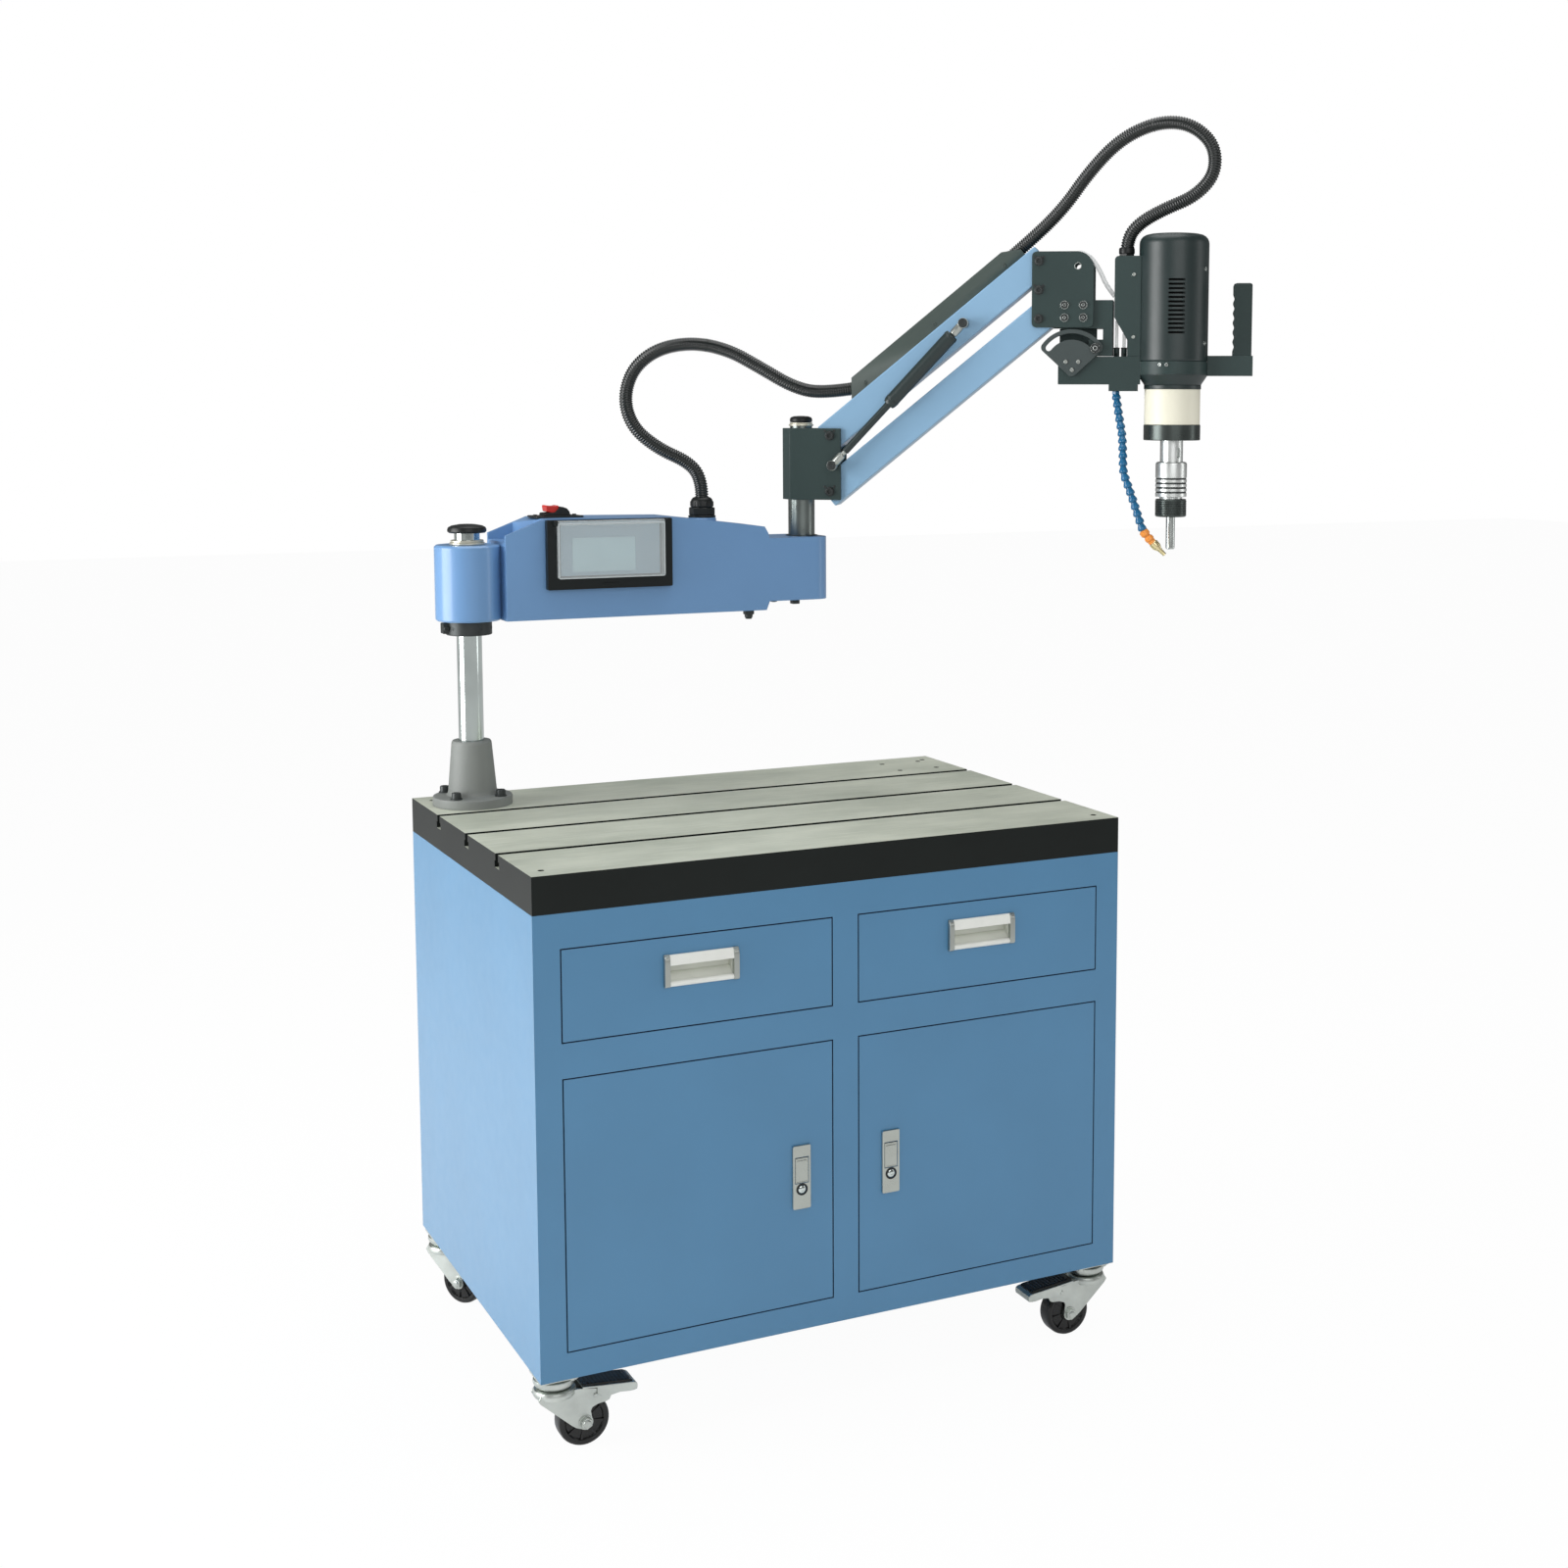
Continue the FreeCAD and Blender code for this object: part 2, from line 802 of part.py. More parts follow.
def doors():
    for word, side in SIDES.items():
        front = -half_depth
        back = front + size.front_thick
        low, high = door_low + size.front_gap, door_high - size.front_gap
        skin, block = size.sheet, size.hinge_block
        pan = span(side * front_inner, side * front_outer, front, back, low, high)
        hollow = span(
            side * (front_inner + skin), side * (front_outer - skin), front + skin, back + 1, low + skin, high - skin
        )
        corners = []
        holes = []
        bore = size.hinge_pin_radius + size.running_fit
        for end, way in ((low, 1), (high, -1)):
            inner_x = side * (front_outer - block)
            corners.append(span(inner_x, side * front_outer, front, back, end, end + way * block))
            depth = size.hinge_pin_depth + 1
            start = end if way > 0 else end - depth
            holes.append(rod(side * hinge_x, hinge_y, start, bore, depth))
        x, top = latch_place(side, high)
        case_x = size.flap_width / 2 + skin
        case_low, case_high = top - size.latch_height + 8, top - 8
        case_hole = span(x - case_x, x + case_x, front - 1, front + skin + 1, case_low, case_high)
        leaf = cut(fuse(cut(pan, hollow), *corners), *holes, case_hole)
        make(f"door_{word}", group(leaf, latch_case(x, top)), floor)
        latch_flap(word, x, top)
        latch_button(word, x, top)


def latch_place(side, high):
    return side * (front_inner + size.latch_inset), high - size.latch_drop


def flap_hinge(top):
    return -half_depth - size.latch_proud / 2, top - size.flap_top - size.flap_thick / 2


def latch_case(x, top):
    """The latch's face plate and the case behind it, open at the flap."""
    front = -half_depth
    low, high = top - size.latch_height + 8, top - 8
    half, case_half = size.latch_width / 2, size.flap_width / 2 + size.sheet
    plate_part = span(x - half, x + half, front - size.latch_proud, front, top - size.latch_height, top)
    case = span(x - case_half, x + case_half, front, front + size.latch_case_depth, low, high)
    gap = size.slack * 2
    flap_half = size.flap_width / 2 + gap
    flap_low = top - size.flap_top - size.flap_height - gap
    window = span(
        x - flap_half, x + flap_half, front - size.latch_proud - 1, front + size.latch_case_depth - 2,
        flap_low, top - size.flap_top + gap + size.slack * 2,
    )
    y, z = flap_hinge(top)
    pin = size.flap_pin_radius + size.running_fit
    reach = flap_half + size.flap_pin_end
    pin_hole = rod(x - reach, y, z, pin, reach * 2, "X")
    bore = rod(
        x, front - size.latch_proud - 1, top - size.button_drop, size.button_radius + 0.1,
        size.latch_proud + size.latch_case_depth - 1, "Y",
    )
    return cut(fuse(plate_part, case), window, pin_hole, bore)


def latch_flap(word, x, top):
    y, z = flap_hinge(top)
    front = -half_depth - size.latch_proud
    half = size.flap_width / 2
    leaf = span(
        x - half, x + half, front, front + size.flap_thick, top - size.flap_top - size.flap_height,
        top - size.flap_top,
    )
    pin_half = half + 2 * size.slack + size.flap_pin_end - 0.2
    pin = rod(x - pin_half, y, z, size.flap_pin_radius, pin_half * 2, "X")
    make(f"latch_flap_{word}", fuse(leaf, pin), floor)


def latch_button(word, x, top):
    start = -half_depth - size.latch_proud - size.button_travel
    length = size.latch_proud + size.button_travel + size.latch_case_depth - 3 * size.button_travel
    button = rod(x, start, top - size.button_drop, size.button_radius, length, "Y")
    make(f"latch_button_{word}", button, floor)


# ---------------------------------------------------------------- casters

# Each caster's place as signs of x and y, the way it trails and whether it has a brake.
CASTERS = {
    "front_left": (-1, -1, 0, True),
    "front_right": (1, -1, 180, True),
    "rear_left": (-1, 1, -56, False),
    "rear_right": (1, 1, -150, False),
}


def caster_place(sign_x, sign_y):
    return sign_x * (half_length - size.caster_edge_x), sign_y * (half_depth - size.caster_edge_y)


def caster_mounts():
    mounts = []
    for sign_x, sign_y, _, _ in CASTERS.values():
        x, y = caster_place(sign_x, sign_y)
        half = size.mount_plate / 2
        high = size.caster_height
        top_plate = span(x - half, x + half, y - half, y + half, high - size.mount_thick, high)
        low = size.crown_high + size.slack
        neck = rod(x, y, low, size.mount_neck_radius, high - size.mount_thick - low)
        kingpin = rod(x, y, size.crown_low - 2, size.kingpin_radius, low - size.crown_low + 2)
        mounts.append(fuse(top_plate, neck, kingpin))
    make("caster_mounts", group(*mounts), floor)


def casters():
    for word, (sign_x, sign_y, turn, brake) in CASTERS.items():
        frame = pose(*caster_place(sign_x, sign_y), 0, "Z", turn)
        make(f"caster_fork_{word}", caster_fork(brake), frame)
        make(f"caster_wheel_{word}", caster_wheel(), frame)
        if brake:
            make(f"brake_pedal_{word.split('_')[1]}", brake_pedal(), frame)


def caster_fork(brake):
    leg_in = size.wheel_width / 2 + size.fork_gap
    leg_out = leg_in + size.fork_leg
    low, high, trail = size.crown_low, size.crown_high, size.wheel_trail
    axle = size.wheel_radius
    crown = cut(
        rod(0, 0, low, size.crown_radius, high - low),
        rod(0, 0, low - 1, size.kingpin_radius + size.running_fit, high - low + 2),
    )
    foot = size.fork_foot
    pin_x, pin_z = size.pedal_pin_reach, size.pedal_pin_height
    rear = size.crown_radius
    outline = [
        (-rear, low), (trail - 2 * foot, axle - foot / 3), (trail - foot, axle - foot / 2),
        (trail - foot / 2, axle - foot), (trail + foot / 2, axle - foot), (trail + foot, axle - foot / 2),
        (trail + foot, axle + foot),
    ]
    if brake:
        outline += [
            (pin_x - foot, axle + 2 * foot), (pin_x + foot, axle + 2.4 * foot), (pin_x + foot, pin_z + foot / 2),
            (pin_x - foot / 2, low), (trail - foot, high - foot / 2), (-rear, high - foot / 2),
        ]
    else:
        outline += [(rear + foot / 2, low), (rear, high - foot / 2), (-rear, high - foot / 2)]
    legs = [plate("XZ", outline, start, size.fork_leg) for start in (leg_in, -leg_out)]
    bolt = rod(trail, -leg_out, axle, size.axle_radius, leg_out * 2, "Y")
    nut_ends = [hexagon(trail, start, axle, 8, 4, "Y") for start in (leg_out, -leg_out - 4)]
    parts = [crown, *legs, bolt, *nut_ends]
    if brake:
        reach = leg_out + size.slack + size.pedal_thick
        parts.append(rod(pin_x, -reach, pin_z, size.pedal_pin_radius, reach * 2, "Y"))
    return fuse(*parts)


def caster_wheel():
    radius, half = size.wheel_radius, size.wheel_width / 2
    hub = half + size.fork_gap - 2 * size.slack
    bore = size.axle_radius + size.running_fit
    rim = radius - 9
    outline = [
        (bore, -hub), (size.wheel_hub_radius, -hub), (size.wheel_hub_radius, -half + 4), (rim, -half + 4),
        (rim, -half), (radius - 2, -half), (radius, -half + 3), (radius, half - 3), (radius - 2, half),
        (rim, half), (rim, half - 4), (size.wheel_hub_radius, half - 4), (size.wheel_hub_radius, hub), (bore, hub),
    ]
    return turned(outline, size.wheel_trail, 0, size.wheel_radius, "Y")


def brake_pedal():
    inside = size.wheel_width / 2 + size.fork_gap + size.fork_leg + size.slack
    outside = inside + size.pedal_thick
    x, z = size.pedal_pin_reach, size.pedal_pin_height
    thick, heel, tip = size.pedal_thick, size.pedal_heel, size.pedal_reach
    high, toe = size.pedal_high, size.pedal_toe
    tread = plate(
        "XZ",
        [
            (heel, high), (tip - thick, toe + thick / 2), (tip, toe), (tip, toe - size.pedal_lip),
            (tip - thick, toe - size.pedal_lip), (tip - thick, toe - thick), (heel, high - thick),
        ],
        -outside, outside * 2,
    )
    lug_outline = [
        (heel, high), (heel, high - size.pedal_lip), (x - thick, z - 2 * thick), (x + 2 * thick, z - 2 * thick),
        (tip, toe - size.pedal_lip), (tip, toe),
    ]
    lugs = [plate("XZ", lug_outline, start, size.pedal_thick) for start in (inside, -outside)]
    hole = rod(x, -outside - 1, z, size.pedal_pin_radius + size.running_fit, outside * 2 + 2, "Y")
    return cut(fuse(tread, *lugs), hole)


# ---------------------------------------------------------------- column

def column_base():
    tube = size.tube_radius
    body = turned(
        [
            (0, 0), (size.flange_radius, 0), (size.flange_radius, size.flange_thick),
            (size.cone_low_radius, size.flange_thick), (size.cone_top_radius, size.cone_height),
            (tube, size.cone_height), (tube, size.base_floor), (0, size.base_floor),
        ]
    )
    holes = [rod(x, y, -1, size.base_bolt_radius, size.flange_thick + 2) for x, y in bolt_circle()]
    make("column_base", cut(body, *holes), column)


def base_bolts():
    bolts = []
    for x, y in bolt_circle():
        radius = size.base_bolt_radius
        washer = cut(
            rod(x, y, size.flange_thick, radius * 2, 2), rod(x, y, size.flange_thick - 1, radius, 4)
        )
        seat = size.flange_thick + 2
        screw = socket_screw(x, y, seat, radius, seat + size.base_bolt_depth, radius * 1.6, radius * 2)
        bolts += [washer, screw]
    make("base_bolts", group(*bolts), column)


def column_tube():
    length = size.tube_height - size.base_floor
    outer = rod(0, 0, size.base_floor, size.tube_radius, length)
    make("column_tube", cut(outer, rod(0, 0, size.base_floor - 1, size.tube_bore, length + 2)), column)


def column_collar():
    high = size.arm_height - size.slack
    low = high - size.collar_height
    radius = size.collar_radius
    ring = rod(0, 0, low, radius, size.collar_height)
    lug_half = size.clamp_lug
    lug = span(-radius - lug_half, -radius + 6, -lug_half, lug_half, low + 4, high - 4)
    slit = span(-radius - lug_half - 3, Size(0), -1.5, 1.5, low - 1, high + 1)
    bore = rod(0, 0, low - 1, size.tube_radius, size.collar_height + 2)
    length = size.clamp_screw_length
    screw = rod(-radius - 3, -length / 2, (low + high) / 2, size.clamp_screw_radius, length, "Y")
    make("column_collar", fuse(cut(fuse(ring, lug), slit, bore), screw), column)


def column_cap():
    washer_low = size.arm_height + size.boss_height + size.slack
    washer = cut(
        rod(0, 0, washer_low, size.column_washer_radius, size.column_washer),
        rod(0, 0, washer_low - 1, size.tube_radius, size.column_washer + 2),
    )
    low, radius, high = size.tube_height, size.cap_radius, size.tube_height + size.cap_height
    stem = low - size.cap_stem
    cap = turned(
        [
            (0, stem), (size.tube_bore, stem), (size.tube_bore, low), (radius, low), (radius, high - 6),
            (radius - 6, high), (0, high),
        ]
    )
    make("column_cap", group(washer, cap), column)


# ---------------------------------------------------------------- first arm

def arm_outline():
    return [
        (size.arm_start, 0), (size.arm_slope_end + 3, 0), (size.tip_start, size.tip_underside),
        (size.arm_end, size.tip_underside), (size.arm_end, size.tip_height), (size.tip_start, size.tip_height),
        (size.arm_slope_end + 7, size.arm_slope_end_height - 12),
        (size.arm_slope_end, size.arm_slope_end_height), (size.arm_slope_mid, size.arm_slope_mid_height),
        (size.arm_top_far, size.arm_top_far_height), (size.arm_top_flat_end, size.arm_top),
        (size.arm_top_start, size.arm_top), (size.arm_start, size.arm_left_top),
    ]


def arm_hollow():
    wall = size.arm_wall
    tall = size.notch_front + wall
    top = size.arm_top - wall
    tip = size.post_reach - size.post_big_radius - 2 * wall
    low = size.tip_underside + wall
    end_top = size.tip_height - wall
    return [
        (size.arm_start + 2 * wall, wall), (size.arm_slope_end - wall, wall), (size.arm_slope_end, low),
        (tip, low), (tip, end_top), (size.arm_slope_end - wall, end_top),
        (size.arm_slope_end - 2 * wall, size.arm_slope_end_height - 2 * wall),
        (size.arm_slope_mid, size.arm_slope_mid_height - wall),
        (size.arm_top_far, size.arm_top_far_height - wall), (size.arm_top_flat_end, top), (tall, top),
        (tall, size.notch_floor - wall), (size.arm_start + 2 * wall, size.notch_floor - wall),
    ]


def control_arm():
    half, wall = size.arm_width / 2, size.arm_wall
    casting = plate("XZ", arm_outline(), -half, size.arm_width)
    dress(casting, "Fillet", size.tip_round, "Z", [(size.arm_end, 0), (size.arm_end, size.arm_width)])
    hollow = plate("XZ", arm_hollow(), -half + wall, size.arm_width - 2 * wall)
    inner = half - wall
    notch = plate(
        "XY",
        [
            (size.arm_start - 1, -inner), (size.notch_front, -inner), (size.notch_rear, inner),
            (size.arm_start - 1, inner),
        ],
        size.notch_floor, size.arm_top,
    )
    boss = rod(0, 0, 0, size.boss_radius, size.boss_height)
    pad = rod(size.gland_reach, 0, size.arm_slope_mid_height - wall, size.gland_pad_radius, pad_rise())
    post_hole = rod(
        size.post_reach, 0, size.tip_height - size.post_socket, size.post_big_radius, size.post_socket + 1
    )
    bore = rod(0, 0, -1, size.tube_radius + size.running_fit, size.boss_height + 2)
    stem_hole = rod(
        size.gland_reach, 0, size.arm_slope_mid_height - 3 * wall, size.gland_stem_radius,
        size.gland_pad_height,
    )
    body = cut(fuse(cut(casting, hollow, notch), boss, pad), bore, post_hole, stem_hole)
    make("control_arm", body, arm)


def pad_rise():
    return size.gland_pad_height - size.arm_slope_mid_height + size.arm_wall


def swivel_post():
    low = size.tip_height - size.post_socket
    shoulder, top = size.post_shoulder, size.post_top
    big, small = size.post_big_radius, size.post_small_radius
    outline = [(0, low), (big, low), (big, shoulder), (small, shoulder), (small, top), (0, top)]
    make("swivel_post", turned(outline), arm.moved(x=size.post_reach))


def bracket_cap():
    low = size.post_top
    high = low + size.bracket_washer
    washer = rod(0, 0, low, size.bracket_washer_radius, size.bracket_washer)
    radius, top = size.bracket_cap_radius, high + size.bracket_cap_height
    cap = turned([(0, high), (radius, high), (radius, top - 4), (radius - 4, top), (0, top)])
    make("bracket_cap", group(washer, cap), arm.moved(x=size.post_reach))


def panel_top():
    return size.arm_top - 2


def screen_panel():
    """The control panel's frame with its screen window and the ears of the cover's hinge."""
    front = -size.arm_width / 2 - size.panel_thick
    x, top = size.panel_start, panel_top()
    low = top - size.panel_height
    frame = span(x, x + size.panel_width, front, -size.arm_width / 2, low, top)
    screen_x = x + size.screen_start
    window = span(
        screen_x, screen_x + size.screen_width, front - 1, front + size.screen_recess, low + size.screen_low,
        low + size.screen_low + size.screen_height,
    )
    y, z = cover_hinge()
    ears = []
    pins = []
    for side in (-1, 1):
        edge = cover_edge(side) + side * size.slack
        ears.append(span(edge, edge + side * size.cover_ear, front - size.cover_depth, front, z - 4, z + 4))
        pin_end = edge - side * (size.slack + size.cover_wall)
        start = edge if side < 0 else pin_end
        pins.append(rod(start, y, z, size.cover_pin_radius, size.slack + size.cover_wall, "X"))
    make("screen_panel", fuse(cut(frame, window), *ears, *pins), arm)


def cover_edge(side):
    """The left or right edge of the clear cover."""
    middle = size.panel_start + size.cover_start + size.cover_width / 2
    return middle + side * size.cover_width / 2


def cover_hinge():
    front = -size.arm_width / 2 - size.panel_thick
    return front - size.cover_depth / 2 - size.slack, panel_top() - 5


def screen_cover():
    front = -size.arm_width / 2 - size.panel_thick - size.slack
    face = front - size.cover_depth
    y, z = cover_hinge()
    low = z + size.cover_depth / 2 - size.cover_height
    wall = size.cover_wall
    left, right = cover_edge(-1), cover_edge(1)
    roll = rod(left, y, z, size.cover_depth / 2, size.cover_width, "X")
    shell = fuse(span(left, right, face, front, low, z), roll)
    space = span(left + wall, right - wall, face + wall, front + 1, low + wall, z - size.cover_depth / 2)
    bore = rod(left - 1, y, z, size.cover_pin_radius + size.running_fit, size.cover_width + 2, "X")
    make("screen_cover", cut(shell, space, bore), arm)


def guard_place():
    x = size.switch_start + size.guard_start
    return x, x + size.guard_width, size.guard_depth / 2, size.arm_top + size.switch_plate


def switch_housing():
    """A base plate with a raised guard round the rocker switch."""
    half = size.switch_depth / 2
    base = span(
        size.switch_start, size.switch_start + size.switch_width, -half, half, size.arm_top,
        size.arm_top + size.switch_plate,
    )
    x0, x1, guard_half, low = guard_place()
    guard = span(x0, x1, -guard_half, guard_half, low, low + size.guard_height)
    well = span(
        x0 + size.guard_wall - size.slack, x0 + size.guard_wall + size.rocker_length + size.slack,
        -size.rocker_width / 2 - size.slack, size.rocker_width / 2 + size.slack, low + 2,
        low + size.guard_height + 1,
    )
    x, z = rocker_pin()
    reach = size.rocker_width / 2 + 2
    pin = rod(x, -reach, z, size.rocker_pin_radius, reach * 2, "Y")
    make("switch_housing", fuse(cut(fuse(base, guard), well), pin), arm)


def rocker_pin():
    x0, _, _, low = guard_place()
    return x0 + size.guard_wall + size.rocker_length / 2, low + size.guard_height - 3


def switch_rocker():
    x, z = rocker_pin()
    half = size.rocker_length / 2
    top = z + 3
    outline = [
        (x - half + 2, top - 1), (x + half - 2, top + size.rocker_proud), (x + half - 2, top - 5),
        (x + 5, top - 8), (x - 5, top - 8), (x - half + 2, top - 5),
    ]
    body = plate("XZ", outline, -size.rocker_width / 2, size.rocker_width)
    reach = size.rocker_width / 2 + 1
    bore = rod(x, -reach, z, size.rocker_pin_radius + size.running_fit, reach * 2, "Y")
    make("switch_rocker", cut(body, bore), arm)


def cable_gland():
    x, low = size.gland_reach, size.gland_pad_height
    high = low + size.gland_hex_height
    base = hexagon(x, 0, low, size.gland_hex_radius, size.gland_hex_height)
    nut = rod(x, 0, high, size.gland_nut_radius, size.gland_nut_height)
    stem_low = size.arm_slope_mid_height - size.arm_wall - 4
    stem = rod(x, 0, stem_low, size.gland_stem_radius, low - stem_low)
    make("cable_gland", fuse(base, nut, stem), arm)


def arm_fasteners():
    """Screws and the air fitting below the arm, and the post's set screw."""
    low = size.tip_underside
    drop, half = size.fastener_drop, size.fastener_width / 2
    dome = rod(size.dome_reach, 0, low - half, half, half)
    square_x = size.post_reach - 2 * half
    square = span(square_x - half, square_x + half, -half, half, low - drop, low)
    fitting = fuse(
        hexagon(size.air_fitting_reach, 0, -drop, size.air_fitting_radius, drop),
        rod(size.air_fitting_reach, 0, -2 * drop, half, drop),
    )
    make("arm_fasteners", group(dome, square, fitting), arm)


# ---------------------------------------------------------------- bracket and links

def swivel_bracket():
    low, half = size.bracket_low, size.bracket_half
    near_t = half - size.bracket_chamfer_t
    shoulder = -half + size.bracket_chamfer_s
    outline = [
        (-half, -near_t), (shoulder, -half), (size.bracket_reach, -half), (size.bracket_reach, half),
        (shoulder, half), (-half, near_t),
    ]
    block = plate("XY", outline, low, size.bracket_height)
    fork_slot = span(
        size.bracket_solid, size.bracket_reach + 1, -size.slot_half, size.slot_half, low - 1,
        low + size.bracket_height + 1,
    )
    bore = rod(0, 0, low - 1, size.post_small_radius + size.bracket_fit, size.bracket_height + 2)
    holes = [
        rod(size.pivot_reach, -half - 1, height, size.pivot_pin_radius, half * 2 + 2, "Y")
        for height in (size.pivot_height, lower_pivot_height)
    ]
    stud_hole = rod(
        size.spring_stud_reach, -half - 1, size.spring_stud_height, size.stud_radius, half - size.slot_half + 2, "Y"
    )
    make("swivel_bracket", cut(block, fork_slot, bore, *holes, stud_hole), second)


def pivot_pin(x, z, half):
    """A headed pin across two cheeks whose outer faces lie half a width from the middle."""
    shank = rod(x, -half, z, size.pivot_pin_radius, half * 2, "Y")
    heads = [
        hexagon(x, start, z, size.pin_head_radius, size.pin_head, "Y") for start in (half, -half - size.pin_head)
    ]
    return fuse(shank, *heads)


def spring_stud(x, z, face):
    """A stud that stands out of a face towards -Y, with a collar, to carry a spring socket."""
    length = size.spring_offset + size.socket_width / 2 + 3
    inside = size.bracket_half - size.slot_half
    pin = rod(x, -length, z, size.stud_radius, length - face + inside, "Y")
    collar = size.spring_offset - size.socket_width / 2 - size.slack - face
    return fuse(pin, rod(x, -face - collar, z, size.stud_collar_radius, collar, "Y"))


def bracket_pins():
    pins = [
        pivot_pin(size.pivot_reach, height, size.bracket_half) for height in (size.pivot_height, lower_pivot_height)
    ]
    stud = spring_stud(size.spring_stud_reach, size.spring_stud_height, size.bracket_half)
    make("bracket_pins", group(*pins, stud), second)


def link_body(far_slack, studded):
    half_depth_ = size.link_depth / 2
    end = size.link_length + size.link_overhang
    half, wall = size.link_half, size.link_wall
    bar = span(-size.link_overhang, end, -half, half, -half_depth_, half_depth_)
    hollow = span(
        size.link_boss, size.link_length - size.link_boss, -half + wall, half - wall, -half_depth_ + wall,
        half_depth_ - wall,
    )
    bores = [
        rod(0, -half - 1, 0, size.pivot_pin_radius + size.running_fit, half * 2 + 2, "Y"),
        rod(size.link_length, -half - 1, 0, size.pivot_pin_radius + far_slack, half * 2 + 2, "Y"),
    ]
    body = cut(bar, hollow, *bores)
    if studded:
        length = size.spring_offset + size.socket_width / 2 + 3
        body = fuse(body, stud_on_link(length))
    return body


def stud_on_link(length):
    x, half = size.spring_link_reach, size.link_half
    collar = size.spring_offset - size.socket_width / 2 - size.slack - half
    pin = rod(x, -length, 0, size.stud_radius, length - half + 1, "Y")
    return fuse(pin, rod(x, -half - collar, 0, size.stud_collar_radius, collar + 1, "Y"))


def links():
    make("upper_link", link_body(size.running_fit, True), link)
    make("lower_link", link_body(size.open_pivot_slack, False), low_link)


def channel_outline():
    low = size.link_depth / 2
    top = low + size.channel_rise
    start, end = size.channel_start, size.channel_end
    return [(start, low), (end, low), (end, low + 12), (size.channel_top_end, top), (start + size.channel_rake, top)]


def hose_cover():
    """An inverted channel on the upper link, closed at its low end and open at the head."""
    half, wall = size.channel_half, size.channel_wall
    low = size.link_depth / 2
    roof, far = low + size.channel_rise - wall, size.channel_end + wall
    start = size.channel_start + wall
    space = [(start, low), (far, low), (far, roof), (start + size.channel_rake, roof)]
    outer = plate("XZ", channel_outline(), -half, half * 2)
    inner = plate("XZ", space, -half + wall, (half - wall) * 2)
    mouth = span(size.channel_top_end, far, -half + wall, half - wall, low + wall, roof + 2 * wall)
    clamp = span(
        size.clamp_place, size.clamp_place + size.clamp_thick, -half + wall, half - wall, low,
        low + size.channel_rise - wall,
    )
    make("hose_cover", fuse(cut(outer, inner, mouth), clamp), link)


def spring_frames():
    """The gas spring's two ends, each with X pointing at the other."""
    low = (float(size.spring_stud_reach), float(size.spring_stud_height))
    reach, pitch = float(size.spring_link_reach), math.radians(float(size.link_pitch))
    high = (
        float(size.pivot_reach) + reach * math.cos(pitch),
        float(size.pivot_height) + reach * math.sin(pitch),
    )
    slope = math.degrees(math.atan2(high[1] - low[1], high[0] - low[0]))
    y = -size.spring_offset
    dx = size.pivot_reach + size.spring_link_reach * cosine(size.link_pitch)
    dz = size.pivot_height + size.spring_link_reach * sine(size.link_pitch)
    lower = second.moved(size.spring_stud_reach, y, size.spring_stud_height, "Y", -slope)
    upper = second.moved(dx, y, dz, "Y", 180 - slope)
    return lower, upper


def socket(width):
    eye = rod(0, -width / 2, 0, size.socket_radius, width, "Y")
    return eye, rod(0, -width, 0, size.stud_radius + size.running_fit, width * 2, "Y")


def spring_halves():
    lower, upper = spring_frames()
    eye, bore = socket(size.socket_width)
    neck = rod(5, 0, 0, size.spring_neck_radius, size.spring_neck_end - 5, "X")
    shaft = rod(
        size.spring_neck_end, 0, 0, size.spring_rod_radius, size.spring_rod_end - size.spring_neck_end, "X"
    )
    make("spring_rod", cut(fuse(eye, neck, shaft), bore), lower)
    eye, bore = socket(size.socket_width)
    start, end = size.spring_tube_start, size.spring_tube_end
    neck = rod(5, 0, 0, size.spring_neck_radius, start - 5, "X")
    tube = rod(start, 0, 0, size.spring_tube_radius, end - start, "X")
    inner_start = start + size.spring_tube_plug
    inner = rod(inner_start, 0, 0, size.spring_tube_bore, end - inner_start + 1, "X")
    make("spring_tube", cut(fuse(eye, neck, tube), bore, inner), upper)


# ---------------------------------------------------------------- head

def head_screw_places():
    return [
        (size.screw_x + i * size.screw_pitch_x, size.screw_z - j * size.screw_pitch_z)
        for i in (0, 1)
        for j in (0, 1)
    ]


def pivot_places():
    return [(Size(0), -row * size.pivot_gap / 2) for row in (0, 1, 2)]


def head_plates():
    plates = []
    left, right, up, down = -size.head_left, size.head_right, size.head_up, -size.head_down
    outline = [(left, down), (right, down), (right, up), (left, up)]
    for start in (-size.slot_half - size.head_plate, size.slot_half):
        cheek = plate("XZ", outline, start, size.head_plate)
        dress(cheek, "Fillet", size.head_round, "Y", [(right, up)])
        dress(cheek, "Fillet", size.head_small_round, "Y", [(left, up), (left, down), (right, down)])
        reach = size.head_plate + 2
        holes = [rod(x, start - 1, z, size.pivot_pin_radius, reach, "Y") for x, z in pivot_places()]
        holes += [rod(x, start - 1, z, size.head_screw_radius, reach, "Y") for x, z in head_screw_places()]
        holes.append(rod(size.head_hole_x, start - 1, size.head_hole_z, size.head_hole_radius, reach, "Y"))
        plates.append(cut(cheek, *holes))
    make("head_plates", group(*plates), head)


def lock_bolt_place():
    x = size.tilt_x + size.arc_radius * cosine(size.lock_angle)
    z = size.tilt_z + size.arc_radius * sine(size.lock_angle)
    return x, z


